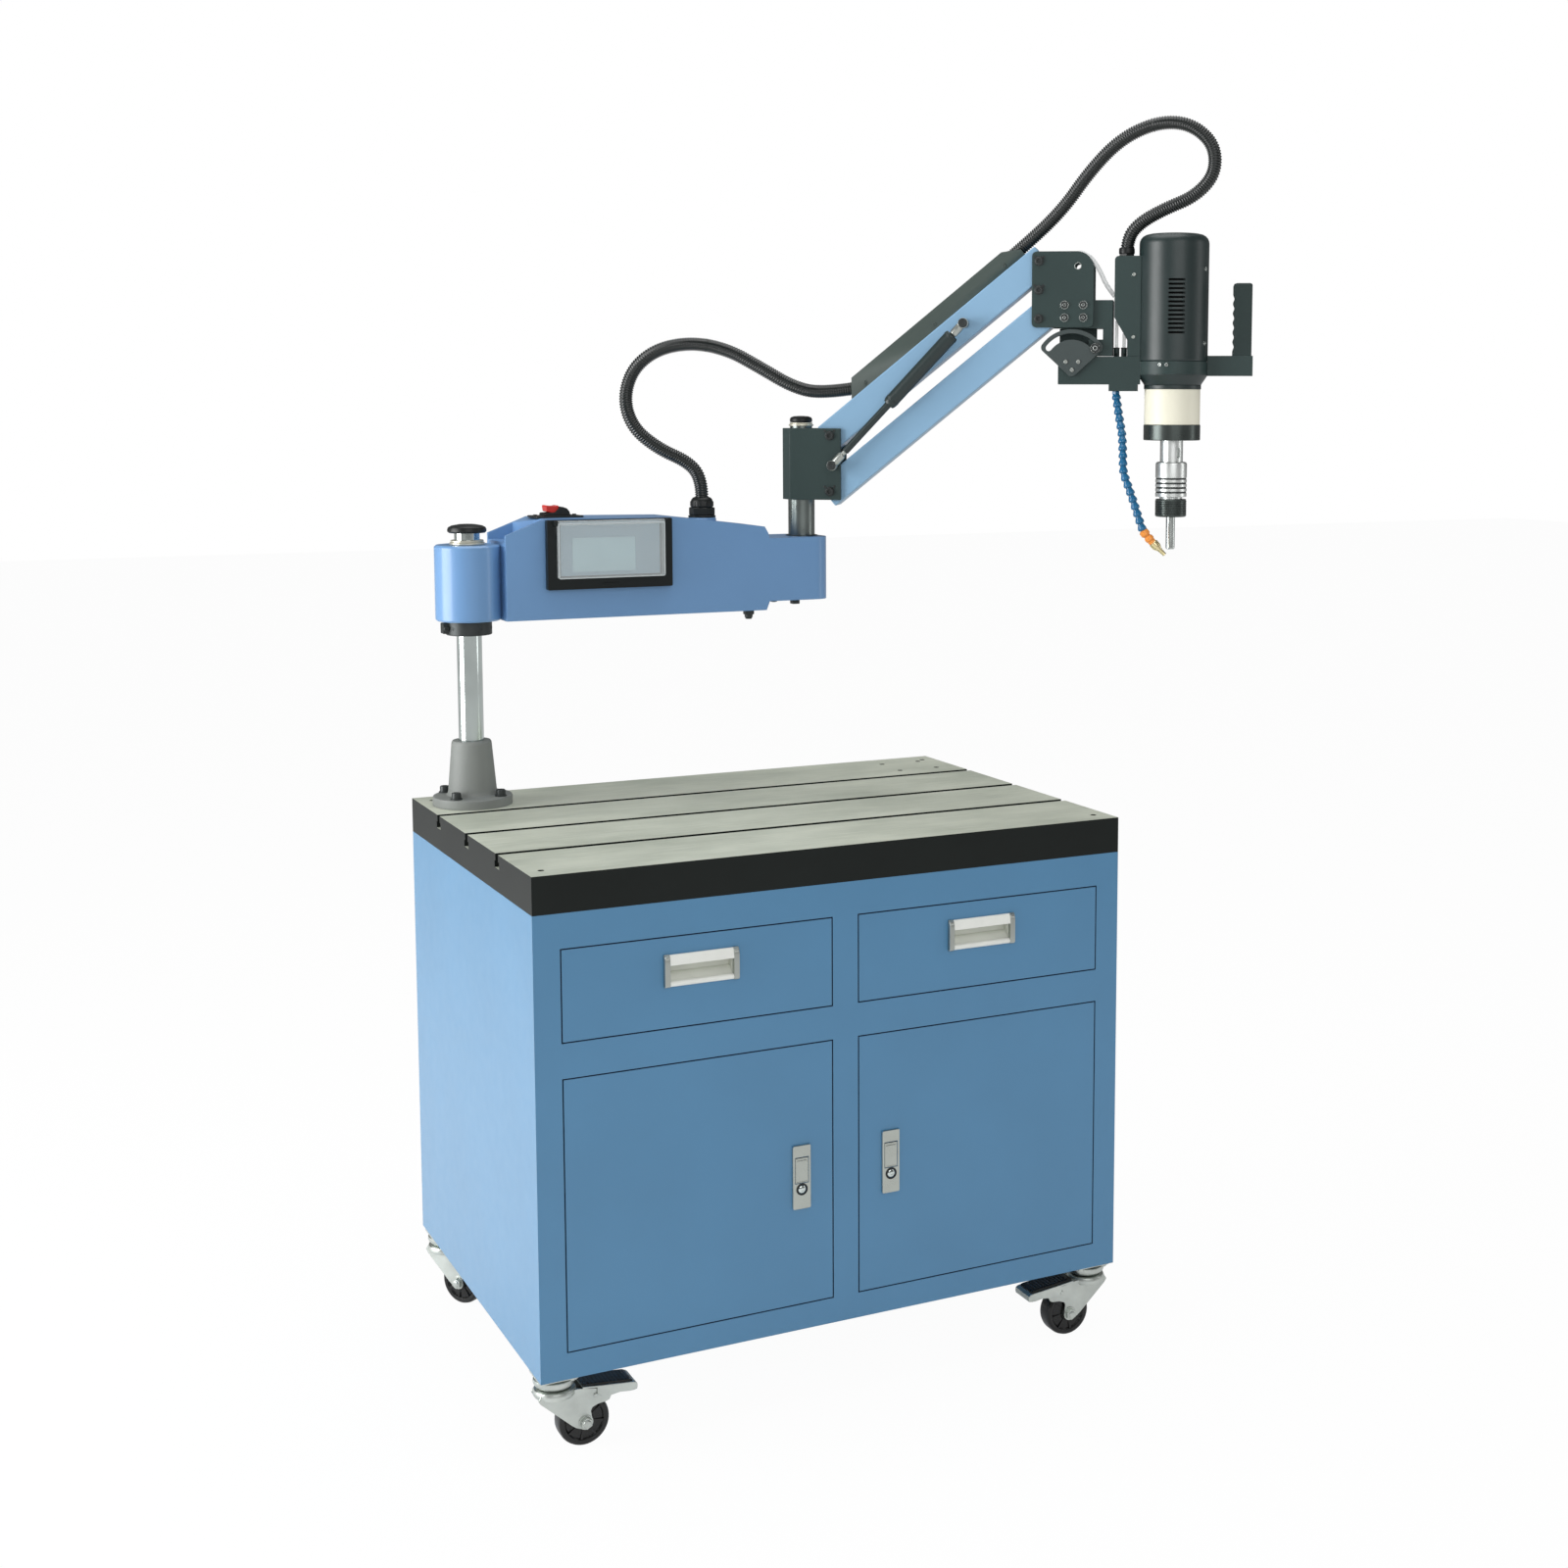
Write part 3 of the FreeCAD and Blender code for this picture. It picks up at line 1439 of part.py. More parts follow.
def tilt_block():
    """The fixed block between the head plates, with the lock bolt's foot and the pin's carrier."""
    half = size.slot_half
    front = -half + size.slack
    beam = span(size.block_left, size.leg_right, -half, half, size.block_low, size.block_top)
    leg = span(size.leg_left, size.leg_right, front, half, size.foot_low, size.block_low)
    foot = span(size.foot_left, size.leg_left, front, half, size.foot_low, size.foot_top)
    round_z = size.tilt_z - size.carrier_round
    carrier = plate(
        "XZ",
        [
            (size.carrier_left, size.block_low), (size.carrier_left, round_z), (size.carrier_right - 18, round_z),
            (size.carrier_right, round_z + 18), (size.carrier_right, size.block_low),
        ],
        half - size.carrier_thick + size.slack, size.carrier_thick - size.slack,
    )
    holes = [rod(x, -half - 1, z, size.head_screw_radius, half * 2 + 2, "Y") for x, z in head_screw_places()]
    holes.append(rod(size.tilt_x, 0, size.tilt_z, size.tilt_pin_radius, half + 1, "Y"))
    x, z = lock_bolt_place()
    holes.append(rod(x, front - 1, z, size.lock_bolt_radius, 21, "Y"))
    make("tilt_block", cut(fuse(beam, leg, foot, carrier), *holes), head)


def head_pins():
    outer = size.slot_half + size.head_plate
    parts = [pivot_pin(x, z, outer) for x, z in pivot_places()]
    for x, z in head_screw_places():
        radius = size.head_screw_radius
        parts.append(socket_screw(x, -outer, z, radius, outer * 2 - 4, radius * 1.6, 5, "Y", down=True))
    pin_end = size.slot_half - size.slack * 2
    length = pin_end + size.slot_half
    tilt_pin = rod(size.tilt_x, -pin_end, size.tilt_z, size.tilt_pin_radius, length, "Y")
    tilt_nut = hexagon(size.tilt_x, size.slot_half, size.tilt_z, 14, 8, "Y")
    parts.append(fuse(tilt_pin, tilt_nut))
    x, z = lock_bolt_place()
    seat = -size.slot_half - size.quadrant_thick - size.slack
    shank = 20 + size.slack + size.quadrant_thick
    washer = rod(x, seat - 2, z, 9, 2, "Y")
    bolt = socket_screw(x, seat - 2, z, size.lock_bolt_radius, shank + 2, 8, 8, "Y", down=True)
    parts.append(fuse(washer, bolt))
    middle = (size.foot_left + size.leg_left) / 2
    parts.append(span(middle - 6, middle + 6, -6, 6, size.block_low - 14, size.block_low))
    make("head_pins", group(*parts), head)


def tilt_bar():
    """The tilting bar with the ring that clamps the motor and the air manifold below it."""
    front = -size.slot_half
    bar = span(-size.bar_left, size.bar_end, front, size.bar_rear, -size.bar_down, size.bar_up)
    manifold = span(
        size.manifold_left, size.manifold_right, front, size.bar_rear, -size.bar_down - size.manifold_drop,
        -size.bar_down,
    )
    height = size.ring_high - size.ring_low
    ring = rod(size.motor_x, 0, size.ring_low, size.motor_radius, height)
    well_low = -size.bar_down - 1
    upper = rod(size.motor_x, 0, size.ring_high, size.motor_radius + size.slack, size.bar_up)
    lower = rod(size.motor_x, 0, well_low, size.motor_radius + size.slack, size.ring_low - well_low)
    bore = rod(size.motor_x, 0, size.ring_low - 1, size.ring_bore, height + 2)
    pin_hole = rod(0, front - 1, 0, size.tilt_pin_radius + size.running_fit, size.slot_half * 2, "Y")
    fittings = []
    for i in (0, 1):
        x = size.fitting_x + i * size.fitting_pitch
        fittings.append(rod(x, -6, size.bar_up, size.fitting_radius, size.fitting_height))
    body = cut(fuse(cut(fuse(bar, manifold), upper, lower), ring), bore, pin_hole)
    make("tilt_bar", fuse(body, *fittings), tilt)


def quadrant():
    front = -size.slot_half - size.quadrant_thick
    thick = size.quadrant_thick
    sector = fan(size.quadrant_radius, size.quadrant_start, size.quadrant_sweep, front, thick)
    hub = rod(0, front, 0, size.quadrant_hub, thick, "Y")
    outer = fan(size.arc_radius + size.arc_half, size.arc_start, size.arc_sweep, front - 1, thick + 2)
    inner = rod(0, front - 2, 0, size.arc_radius - size.arc_half, thick + 4, "Y")
    ends = []
    for angle in (size.arc_start, size.arc_start + size.arc_sweep):
        x, z = size.arc_radius * cosine(angle), size.arc_radius * sine(angle)
        ends.append(rod(x, front - 1, z, size.arc_half, thick + 2, "Y"))
    make("quadrant", cut(fuse(sector, hub), cut(outer, inner), *ends), tilt)


def motor():
    """The motor's cover, a thick shell that stands in the bar's ring and opens onto the gear nose."""
    radius, low, high, wall = size.motor_radius, size.ring_high, size.motor_top, size.motor_wall
    outline = [
        (size.ring_bore, size.ring_low), (size.ring_bore, low), (radius, low),
        (radius, high - size.motor_crown), (radius - 2, high - size.motor_crown / 2),
        (radius - size.motor_edge, high - 1.5), (radius - 2 * size.motor_edge, high), (0, high),
        (0, high - wall), (radius - 2 * size.motor_edge, high - wall), (radius - wall, high - size.motor_crown),
        (radius - wall, low + wall), (size.ring_bore - wall, low + wall), (size.ring_bore - wall, size.ring_low),
    ]
    make("motor", turned(outline), motor_axis)


def junction_box():
    half = size.box_half
    outline = [
        (size.box_left, size.box_top), (size.box_left, size.box_slant_top), (size.box_slant_x, size.box_slant_low),
        (size.box_slant_x, size.bar_up), (size.bar_end, size.bar_up), (size.bar_end, size.box_top),
    ]
    block = plate("XZ", outline, -half, half * 2)
    hug = rod(size.motor_x, 0, size.bar_up - 1, size.motor_radius, size.box_top)
    make("junction_box", cut(block, hug), tilt)


def gear_nose():
    low, bore = size.nose_low, size.spindle_radius + size.running_fit
    top, neck = size.ring_low, size.nose_neck_radius
    band, collar = size.nose_band_radius, size.nose_collar_radius
    ceiling = low + size.nose_bore_depth
    outline = [
        (0, top), (size.motor_radius, top), (neck, size.nose_neck_high), (neck, size.nose_band_high),
        (band, size.nose_band_high), (band, size.nose_collar_high), (collar, size.nose_collar_high),
        (collar, low), (bore, low), (bore, ceiling), (0, ceiling),
    ]
    make("gear_nose", turned(outline), motor_axis)


def spindle():
    """The spindle shaft and the grooved chuck body, with a core that the release ring slides on."""
    high = size.nose_low + size.nose_bore_depth - size.slack * 2
    shaft, chuck = size.spindle_radius, size.chuck_radius
    core, ring_top = size.chuck_core_radius, size.chuck_ring_high
    shank = size.tap_radius - 1
    bore_top = size.chuck_low + size.tap_shank
    body = turned(
        [
            (0, bore_top), (shank, bore_top), (shank, size.chuck_low), (core, size.chuck_low), (core, ring_top),
            (chuck, ring_top), (chuck, size.chuck_high - 2), (chuck - 2, size.chuck_high),
            (shaft, size.chuck_high), (shaft, high), (0, high),
        ]
    )
    grooves = []
    for i in range(int(size.groove_count.number)):
        top = size.groove_high - i * size.groove_pitch
        outer = rod(0, 0, top - size.groove_width, chuck + 1, size.groove_width)
        inner = rod(0, 0, top - size.groove_width - 1, chuck - size.groove_depth, size.groove_width + 2)
        grooves.append(cut(outer, inner))
    make("spindle", cut(body, *grooves), motor_axis)


def chuck_ring():
    high = size.chuck_ring_high - size.ring_travel - size.slack
    low, radius = size.chuck_low, size.chuck_radius
    bore = size.chuck_core_radius + size.running_fit
    outline = [(bore, low), (radius - 2, low), (radius, low + 2), (radius, high), (bore, high)]
    make("chuck_ring", turned(outline), motor_axis)


def tap():
    radius, low, high = size.tap_radius, size.tap_low, size.chuck_low + size.tap_shank
    outline = [
        (0, low), (radius - 3, low), (radius, low + 8), (radius, size.chuck_low - 1),
        (radius - 1, size.chuck_low - 1), (radius - 1, high), (0, high),
    ]
    make("tap", turned(outline), motor_axis)


def handle():
    half = size.handle_half
    left, right, low, high = size.handle_left - 8, size.handle_right, size.handle_low, size.handle_high
    grip0, grip1, top = size.grip_left, size.grip_right, size.grip_top
    outline = [
        (left, low), (right, low), (right, high), (grip1, high + 6), (grip1, top - 4), (grip1 - 4, top),
        (grip0 + 4, top), (grip0, top - 4), (grip0, high), (left, high),
    ]
    body = plate("XZ", outline, -half, half * 2)
    hug = rod(size.motor_x, 0, low - 1, size.motor_radius + size.slack, size.ring_low - low + 1)
    ring_hug = rod(size.motor_x, 0, size.ring_low, size.motor_radius, size.motor_top)
    make("handle", cut(body, hug, ring_hug), tilt)


# ---------------------------------------------------------------- cords

def rounded_path(points):
    """Straight runs joined by tangent arcs as large as the runs allow."""
    edges = []
    radii = []
    last = points[0]
    for before, corner, after in zip(points, points[1:], points[2:]):
        come, go = corner - before, after - corner
        half_turn = come.getAngle(go) / 2
        cut_back = 0.45 * min(come.Length, go.Length)
        radii.append(cut_back / math.tan(half_turn))
        come.normalize()
        go.normalize()
        start, end = corner - come * cut_back, corner + go * cut_back
        inward = (go - come).normalize()
        middle = corner + inward * (radii[-1] / math.cos(half_turn) - radii[-1])
        edges.append(Part.LineSegment(last, start).toShape())
        edges.append(Part.Arc(start, middle, end).toShape())
        last = end
    edges.append(Part.LineSegment(last, points[-1]).toShape())
    return Part.Wire(edges), radii


def tube(points, radius):
    """A round cord along a route, checked against its section times its length."""
    path, radii = rounded_path(points)
    start_way = points[1] - points[0]
    section = Part.Wire(Part.Circle(points[0], start_way, radius).toShape())
    solid = path.makePipeShell([section], True, True)
    wanted = math.pi * radius ** 2 * path.Length
    if abs(solid.Volume / wanted - 1) > 0.01:
        raise ValueError(f"cord volume {solid.Volume:.0f} should be {wanted:.0f}")
    return solid, path.Length, radii


def short_of(last, end, normal, radius):
    """The end of a cord that meets a slanting face, drawn back until its rim clears the face."""
    way = (end - last).normalize()
    slant = abs(way.dot(normal.normalize()))
    back = radius * math.sqrt(1 - slant ** 2) / slant + float(size.slack)
    return end - way * back


def cord(name, frame, routes, radius):
    solids = []
    for route in routes:
        solid, length, radii = tube([FreeCAD.Vector(*point) for point in route], float(radius))
        words = " ".join(f"{value:.0f}" for value in radii)
        print(f"{name}: length {length:.0f}, radii {words}")
        solids.append(solid)
    feature = doc.addObject("Part::Feature", name)
    feature.Shape = solids[0] if len(solids) == 1 else Part.makeCompound(solids)
    make(name, feature, frame)


# Conduit from the gland to the cover, in the first arm's axes with z from the table top.
HOSE_ARM = [
    (423, 0, 516), (423, 0, 546), (402, 4, 577), (347, 16, 602), (303, 25, 640), (290, 28, 692),
    (308, 24, 744), (352, 15, 777), (412, 2, 787), (472, -10, 775), (528, -22, 744), (584, -34, 711),
    (634.6, -42, 699),
]
# Conduit from the clamp in the cover to the valve box, in the head's axes.
HOSE_HEAD = [
    (-30, 0, 27.2), (38, 0, 90), (86, 0, 158), (140, 0, 213), (205, 0, 241), (262, 0, 236), (302, 0, 200),
    (304, 0, 150), (270, 0, 112), (215, 0, 90), (172, 0, 66), (152, 0, 38),
]
# Air tube from the fixed block over the head plates to the valve box, in the head's axes.
AIR_TUBE = [(40, 0, -34), (45, 0, -4), (64, 0, 19), (88, 0, 11), (105, 0, -14), (117, 0, -42)]


def cords():
    face = link.point(size.channel_start + size.channel_rake / 2, 0, size.link_depth / 2 + size.channel_rise / 2)
    lift = link.point(size.channel_rise, 0, -size.channel_rake) - link.point(0, 0, 0)
    normal = column.placement.inverse().Rotation.multVec(lift)
    radius = float(size.conduit_radius)
    end = short_of(FreeCAD.Vector(*HOSE_ARM[-1]), column.placement.inverse().multVec(face), normal, radius)
    arm_route = [*HOSE_ARM, (end.x, end.y, end.z)]
    cord("hose_arm", column, [arm_route], size.conduit_radius)
    clamp = link.point(
        size.clamp_place + size.clamp_thick + size.slack, 0,
        size.link_depth / 2 + size.channel_rise / 2 - size.channel_wall / 2,
    )
    start = head.placement.inverse().multVec(clamp)
    box_top = float(size.box_top + size.tilt_z)
    head_route = [(start.x, start.y, start.z), *HOSE_HEAD, (HOSE_HEAD[-1][0], 0, box_top)]
    cord("hose_head", head, [head_route], size.conduit_radius)
    block_top = float(size.block_top)
    box_face = FreeCAD.Vector(float(size.tilt_x + size.box_left), 0, -60)
    end = short_of(FreeCAD.Vector(*AIR_TUBE[-1]), box_face, FreeCAD.Vector(1, 0, 0), float(size.air_tube_radius))
    air_route = [(AIR_TUBE[0][0], 0, block_top), *AIR_TUBE, (end.x, end.y, end.z)]
    cord("air_tubes", head, [air_route], size.air_tube_radius)


# The coolant hose's bends, in the tilting head's axes.
COOLANT = [
    (77, -8, -43), (83, -16, -84), (90, -26, -120), (92, -34, -153), (93, -38, -185), (103, -39, -212),
    (113, -39, -240), (122, -39, -268), (129, -38, -288), (144, -37, -306), (168, -36, -330),
]


def bead(top, bottom):
    """One bead of the hose: a narrow neck that widens into a socket over the next bead's neck."""
    way = bottom - top
    wide, waist, length = float(size.bead_radius), float(size.bead_waist), way.Length
    profile = [
        (0, 0), (waist - 1, 0), (waist, length * 0.15), (wide, length * 0.7), (wide - 0.8, length * 0.85),
        (waist - 0.5, length + 2), (0, length + 2),
    ]
    corners = [FreeCAD.Vector(radius, 0, height) for radius, height in profile]
    face = Part.Face(Part.makePolygon(corners + corners[:1]))
    solid = face.revolve(FreeCAD.Vector(), FreeCAD.Vector(0, 0, 1), 360)
    solid.Placement = FreeCAD.Placement(top, FreeCAD.Rotation(FreeCAD.Vector(0, 0, 1), way))
    return solid


def coolant_hose():
    """A chain of ball-jointed beads along its bends, with a longer joint and a nozzle at its end."""
    bends = [FreeCAD.Vector(*point) for point in COOLANT]
    outlet = FreeCAD.Vector(bends[0].x, bends[0].y, -float(size.bar_down + size.manifold_drop))
    wide, stub = float(size.bead_radius), float(size.bead_waist)
    bends[0] = outlet - FreeCAD.Vector(0, 0, stub / 2)
    hose = Part.makePolygon(bends[:-2])
    count = max(3, round(hose.Length / float(size.bead_pitch)))
    places = hose.discretize(Number=count + 1)
    beads = [bead(top, bottom) for top, bottom in zip(places, places[1:])]
    beads.append(Part.makeCylinder(wide - 1, stub, outlet, FreeCAD.Vector(0, 0, -1)))
    joint = bends[-2] - bends[-3]
    beads.append(Part.makeCone(wide + 1, wide, joint.Length + 2, bends[-3], joint))
    nozzle = bends[-1] - bends[-2]
    beads.append(Part.makeCone(wide - 0.6, float(size.nozzle_radius), nozzle.Length, bends[-2], nozzle))
    feature = doc.addObject("Part::Feature", "coolant_hose")
    feature.Shape = beads[0].multiFuse(beads[1:])
    make("coolant_hose", feature, tilt)


# ---------------------------------------------------------------- build

def build():
    cabinet_shell()
    table_plate()
    drawers()
    doors()
    caster_mounts()
    casters()
    column_base()
    base_bolts()
    column_tube()
    column_collar()
    column_cap()
    control_arm()
    swivel_post()
    bracket_cap()
    screen_panel()
    screen_cover()
    switch_housing()
    switch_rocker()
    cable_gland()
    arm_fasteners()
    swivel_bracket()
    bracket_pins()
    links()
    hose_cover()
    spring_halves()
    head_plates()
    tilt_block()
    head_pins()
    tilt_bar()
    quadrant()
    motor()
    junction_box()
    gear_nose()
    spindle()
    chuck_ring()
    tap()
    handle()
    cords()
    coolant_hose()
    doc.recompute()


def check():
    """Stop before anything is written if a feature failed or a shape is not sound."""
    for item in doc.Objects:
        if "Invalid" in item.State or "Error" in item.State:
            raise ValueError(f"{item.Name} ({item.Label}) failed")
    for name, shape in nodes.items():
        if shape.Shape.isNull() or not shape.Shape.isValid() or not shape.Shape.Solids:
            raise ValueError(f"{name} has no sound solid")


def write():
    os.makedirs("parts", exist_ok=True)
    for name, shape in nodes.items():
        shape.Shape.exportStep(f"parts/{name}.step")
    print(f"{len(nodes)} nodes")


build()
check()
write()
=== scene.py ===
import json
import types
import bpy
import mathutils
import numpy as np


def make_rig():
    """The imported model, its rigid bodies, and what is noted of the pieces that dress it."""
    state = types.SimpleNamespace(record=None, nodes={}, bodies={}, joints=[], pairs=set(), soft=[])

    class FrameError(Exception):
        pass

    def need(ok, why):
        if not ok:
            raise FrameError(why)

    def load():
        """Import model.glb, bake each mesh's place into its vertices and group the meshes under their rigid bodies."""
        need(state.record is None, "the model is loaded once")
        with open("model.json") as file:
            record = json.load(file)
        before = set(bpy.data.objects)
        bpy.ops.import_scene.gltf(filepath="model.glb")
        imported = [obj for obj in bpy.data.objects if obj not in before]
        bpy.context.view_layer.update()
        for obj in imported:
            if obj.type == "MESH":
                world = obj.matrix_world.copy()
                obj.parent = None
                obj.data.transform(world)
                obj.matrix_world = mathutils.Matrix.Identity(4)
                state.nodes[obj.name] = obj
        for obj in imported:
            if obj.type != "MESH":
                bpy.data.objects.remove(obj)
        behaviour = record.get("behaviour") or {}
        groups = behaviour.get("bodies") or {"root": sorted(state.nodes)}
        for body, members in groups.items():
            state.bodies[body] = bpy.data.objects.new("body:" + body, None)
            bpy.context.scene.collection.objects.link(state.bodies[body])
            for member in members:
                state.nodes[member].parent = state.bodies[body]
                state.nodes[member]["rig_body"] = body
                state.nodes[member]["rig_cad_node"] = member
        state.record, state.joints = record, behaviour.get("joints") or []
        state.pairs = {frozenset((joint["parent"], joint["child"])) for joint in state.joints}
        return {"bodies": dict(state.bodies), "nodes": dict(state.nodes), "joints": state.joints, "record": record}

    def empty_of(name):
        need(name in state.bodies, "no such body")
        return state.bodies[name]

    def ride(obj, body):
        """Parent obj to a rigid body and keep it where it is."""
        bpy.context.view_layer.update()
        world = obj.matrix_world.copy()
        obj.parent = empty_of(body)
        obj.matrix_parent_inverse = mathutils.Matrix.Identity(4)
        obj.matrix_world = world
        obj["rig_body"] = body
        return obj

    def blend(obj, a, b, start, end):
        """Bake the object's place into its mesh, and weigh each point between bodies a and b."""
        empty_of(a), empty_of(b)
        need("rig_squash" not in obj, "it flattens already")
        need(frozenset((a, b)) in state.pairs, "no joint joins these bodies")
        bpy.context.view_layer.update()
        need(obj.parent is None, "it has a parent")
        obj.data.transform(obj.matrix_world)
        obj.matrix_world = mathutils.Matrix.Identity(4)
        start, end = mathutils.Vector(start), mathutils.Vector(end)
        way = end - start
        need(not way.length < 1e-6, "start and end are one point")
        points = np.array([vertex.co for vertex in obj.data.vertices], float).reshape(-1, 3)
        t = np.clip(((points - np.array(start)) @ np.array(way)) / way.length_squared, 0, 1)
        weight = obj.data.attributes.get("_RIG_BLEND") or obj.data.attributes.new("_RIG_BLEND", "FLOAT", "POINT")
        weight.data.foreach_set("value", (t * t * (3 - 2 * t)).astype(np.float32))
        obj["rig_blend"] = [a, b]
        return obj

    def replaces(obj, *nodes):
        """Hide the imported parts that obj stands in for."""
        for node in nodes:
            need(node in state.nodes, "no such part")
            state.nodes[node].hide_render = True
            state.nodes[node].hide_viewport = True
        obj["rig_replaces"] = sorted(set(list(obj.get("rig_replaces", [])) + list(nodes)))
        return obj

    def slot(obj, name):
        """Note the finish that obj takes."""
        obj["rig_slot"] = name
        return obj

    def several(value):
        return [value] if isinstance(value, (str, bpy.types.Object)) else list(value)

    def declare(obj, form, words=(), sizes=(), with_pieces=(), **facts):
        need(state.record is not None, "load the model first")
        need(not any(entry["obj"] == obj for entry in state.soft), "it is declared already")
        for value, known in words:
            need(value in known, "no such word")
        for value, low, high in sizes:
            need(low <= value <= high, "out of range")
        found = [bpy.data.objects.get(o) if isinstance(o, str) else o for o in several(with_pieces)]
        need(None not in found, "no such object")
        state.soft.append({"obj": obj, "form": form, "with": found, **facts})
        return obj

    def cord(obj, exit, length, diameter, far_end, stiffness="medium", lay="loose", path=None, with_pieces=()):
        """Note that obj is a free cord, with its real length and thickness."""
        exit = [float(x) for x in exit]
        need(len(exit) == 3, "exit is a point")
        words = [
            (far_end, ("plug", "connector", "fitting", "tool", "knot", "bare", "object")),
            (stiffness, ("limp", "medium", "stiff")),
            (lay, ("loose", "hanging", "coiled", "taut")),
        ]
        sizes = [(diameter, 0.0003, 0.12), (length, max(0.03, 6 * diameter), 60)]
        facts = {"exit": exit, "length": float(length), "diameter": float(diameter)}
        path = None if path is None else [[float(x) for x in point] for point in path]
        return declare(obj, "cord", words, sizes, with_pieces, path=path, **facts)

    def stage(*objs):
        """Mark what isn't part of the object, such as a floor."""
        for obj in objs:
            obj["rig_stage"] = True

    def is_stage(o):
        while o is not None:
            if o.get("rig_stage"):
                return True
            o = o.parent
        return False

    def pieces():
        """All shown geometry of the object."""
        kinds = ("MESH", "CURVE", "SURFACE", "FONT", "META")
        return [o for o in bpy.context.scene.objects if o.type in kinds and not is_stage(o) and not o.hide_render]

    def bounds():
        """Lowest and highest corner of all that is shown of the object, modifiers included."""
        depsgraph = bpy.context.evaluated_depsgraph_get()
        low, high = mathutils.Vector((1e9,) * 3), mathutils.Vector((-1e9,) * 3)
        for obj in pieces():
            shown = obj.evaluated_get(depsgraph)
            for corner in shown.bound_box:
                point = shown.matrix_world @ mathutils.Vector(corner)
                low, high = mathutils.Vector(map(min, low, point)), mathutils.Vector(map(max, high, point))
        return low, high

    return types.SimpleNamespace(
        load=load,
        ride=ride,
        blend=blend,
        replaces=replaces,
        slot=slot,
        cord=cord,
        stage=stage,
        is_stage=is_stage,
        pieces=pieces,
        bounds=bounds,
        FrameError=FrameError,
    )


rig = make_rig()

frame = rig.load()

import json
import math

import bpy
from mathutils import Matrix, Vector

# An arm tapping machine on a wheeled cabinet. Lengths are in millimetres and angles in degrees;
# MM turns lengths into metres. The origin is on the floor under the table's middle.

MM = 0.001
cad_low, cad_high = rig.bounds()


def shift(x=0, y=0, z=0):
    return Matrix.Translation((x * MM, y * MM, z * MM))


def spin(angle, axis="Z"):
    return Matrix.Rotation(math.radians(angle), 4, axis)


def polar(radius, angle):
    return radius * math.cos(math.radians(angle)), radius * math.sin(math.radians(angle))


# ---- places

SIDES = {"left": -1, "right": 1}
DRAWER_X, PULL_Z = 240.25, 726.5  # middle of a drawer's front
LATCH_X, KNOB_Z = 77.5, 351.9  # a door latch and its round button
FRONT = -350  # outer face of the doors and drawers
WHEEL_X, WHEEL_Z = 42, 40  # the axle, from the caster's swivel axis
GLAND_X = 423  # conduit gland along the first arm
POST_X = 616  # length of the first arm between its axes
ARM_YAW = -35
LINK_PITCH = 39.3
LINK_LENGTH = 483
PIVOT_X, PIVOT_HIGH, PIVOT_LOW = 58.2, 309.1, 209.1  # rear pivots of the two links
SPRING_X, SPRING_Z, SPRING_Y = 65.4, 256.1, -48  # lower end of the gas spring
SPRING_REACH = 313  # upper end of the gas spring along the upper link
PLATE_HALF = 33  # outer faces of the bracket and of the head's plates
PLATE_IN = 25.4  # their inner faces
TILT_X, TILT_Z = 58.8, -182.8  # tilt axis, from the head's upper pin
LOCK_RADIUS = 52  # middle of the quadrant's slot
MOTOR_X = 176.2  # motor axis, from the tilt axis

floor = Matrix.Identity(4)
column = shift(-419.4, 254.4, 890)
arm = column @ shift(z=315)
post = arm @ shift(x=POST_X)
second = post @ spin(ARM_YAW)
link = second @ shift(PIVOT_X, 0, PIVOT_HIGH) @ spin(-LINK_PITCH, "Y")
low_link = second @ shift(PIVOT_X, 0, PIVOT_LOW) @ spin(-LINK_PITCH, "Y")
link_run, link_rise = polar(LINK_LENGTH, LINK_PITCH)
head = second @ shift(PIVOT_X + link_run, 0, PIVOT_HIGH + link_rise)
tilt = head @ shift(TILT_X, 0, TILT_Z)
motor_axis = tilt @ shift(x=MOTOR_X)

# What turns a shape made along Z to another axis.
ALONG = {"X": spin(90, "Y"), "Y": spin(-90, "X"), "Z": floor, "-Y": spin(90, "X"), "-Z": spin(180, "X")}


# ---- camera and light

def camera():
    data = bpy.data.cameras.new("camera")
    data.sensor_width = 36
    data.lens = 48.915
    data.shift_x = -0.0968
    data.shift_y = -0.0873
    data.clip_end = 50
    item = bpy.data.objects.new("camera", data)
    item.location = (-1.3774, -3.2955, 1.5662)
    item.rotation_euler = [math.radians(angle) for angle in (83.56, -0.14, -27.51)]
    bpy.context.collection.objects.link(item)
    bpy.context.scene.camera = item


def lamp(name, place, target, width, height, power):
    """A flat lamp that faces its target; places and sizes in metres, power in watts."""
    data = bpy.data.lights.new(name, "AREA")
    data.shape = "RECTANGLE"
    data.size, data.size_y = width, height
    data.energy = power
    item = bpy.data.objects.new(name, data)
    item.location = place
    item.rotation_euler = (Vector(target) - Vector(place)).to_track_quat("-Z", "Y").to_euler()
    bpy.context.collection.objects.link(item)


def lights():
    lamp("window_left", (-3.6, 0.4, 1.6), (0, 0, 0.9), 2.4, 2.6, 140)
    lamp("softbox_front", (-0.6, -4.0, 2.6), (0, 0, 0.9), 3.0, 2.0, 38)
    lamp("softbox_top", (0.2, 0.2, 4.2), (0, 0, 0.9), 3.0, 3.0, 68)
    lamp("softbox_right", (3.2, -1.6, 1.8), (0.3, 0, 1.2), 0.7, 2.4, 10)


# ---- shader maths

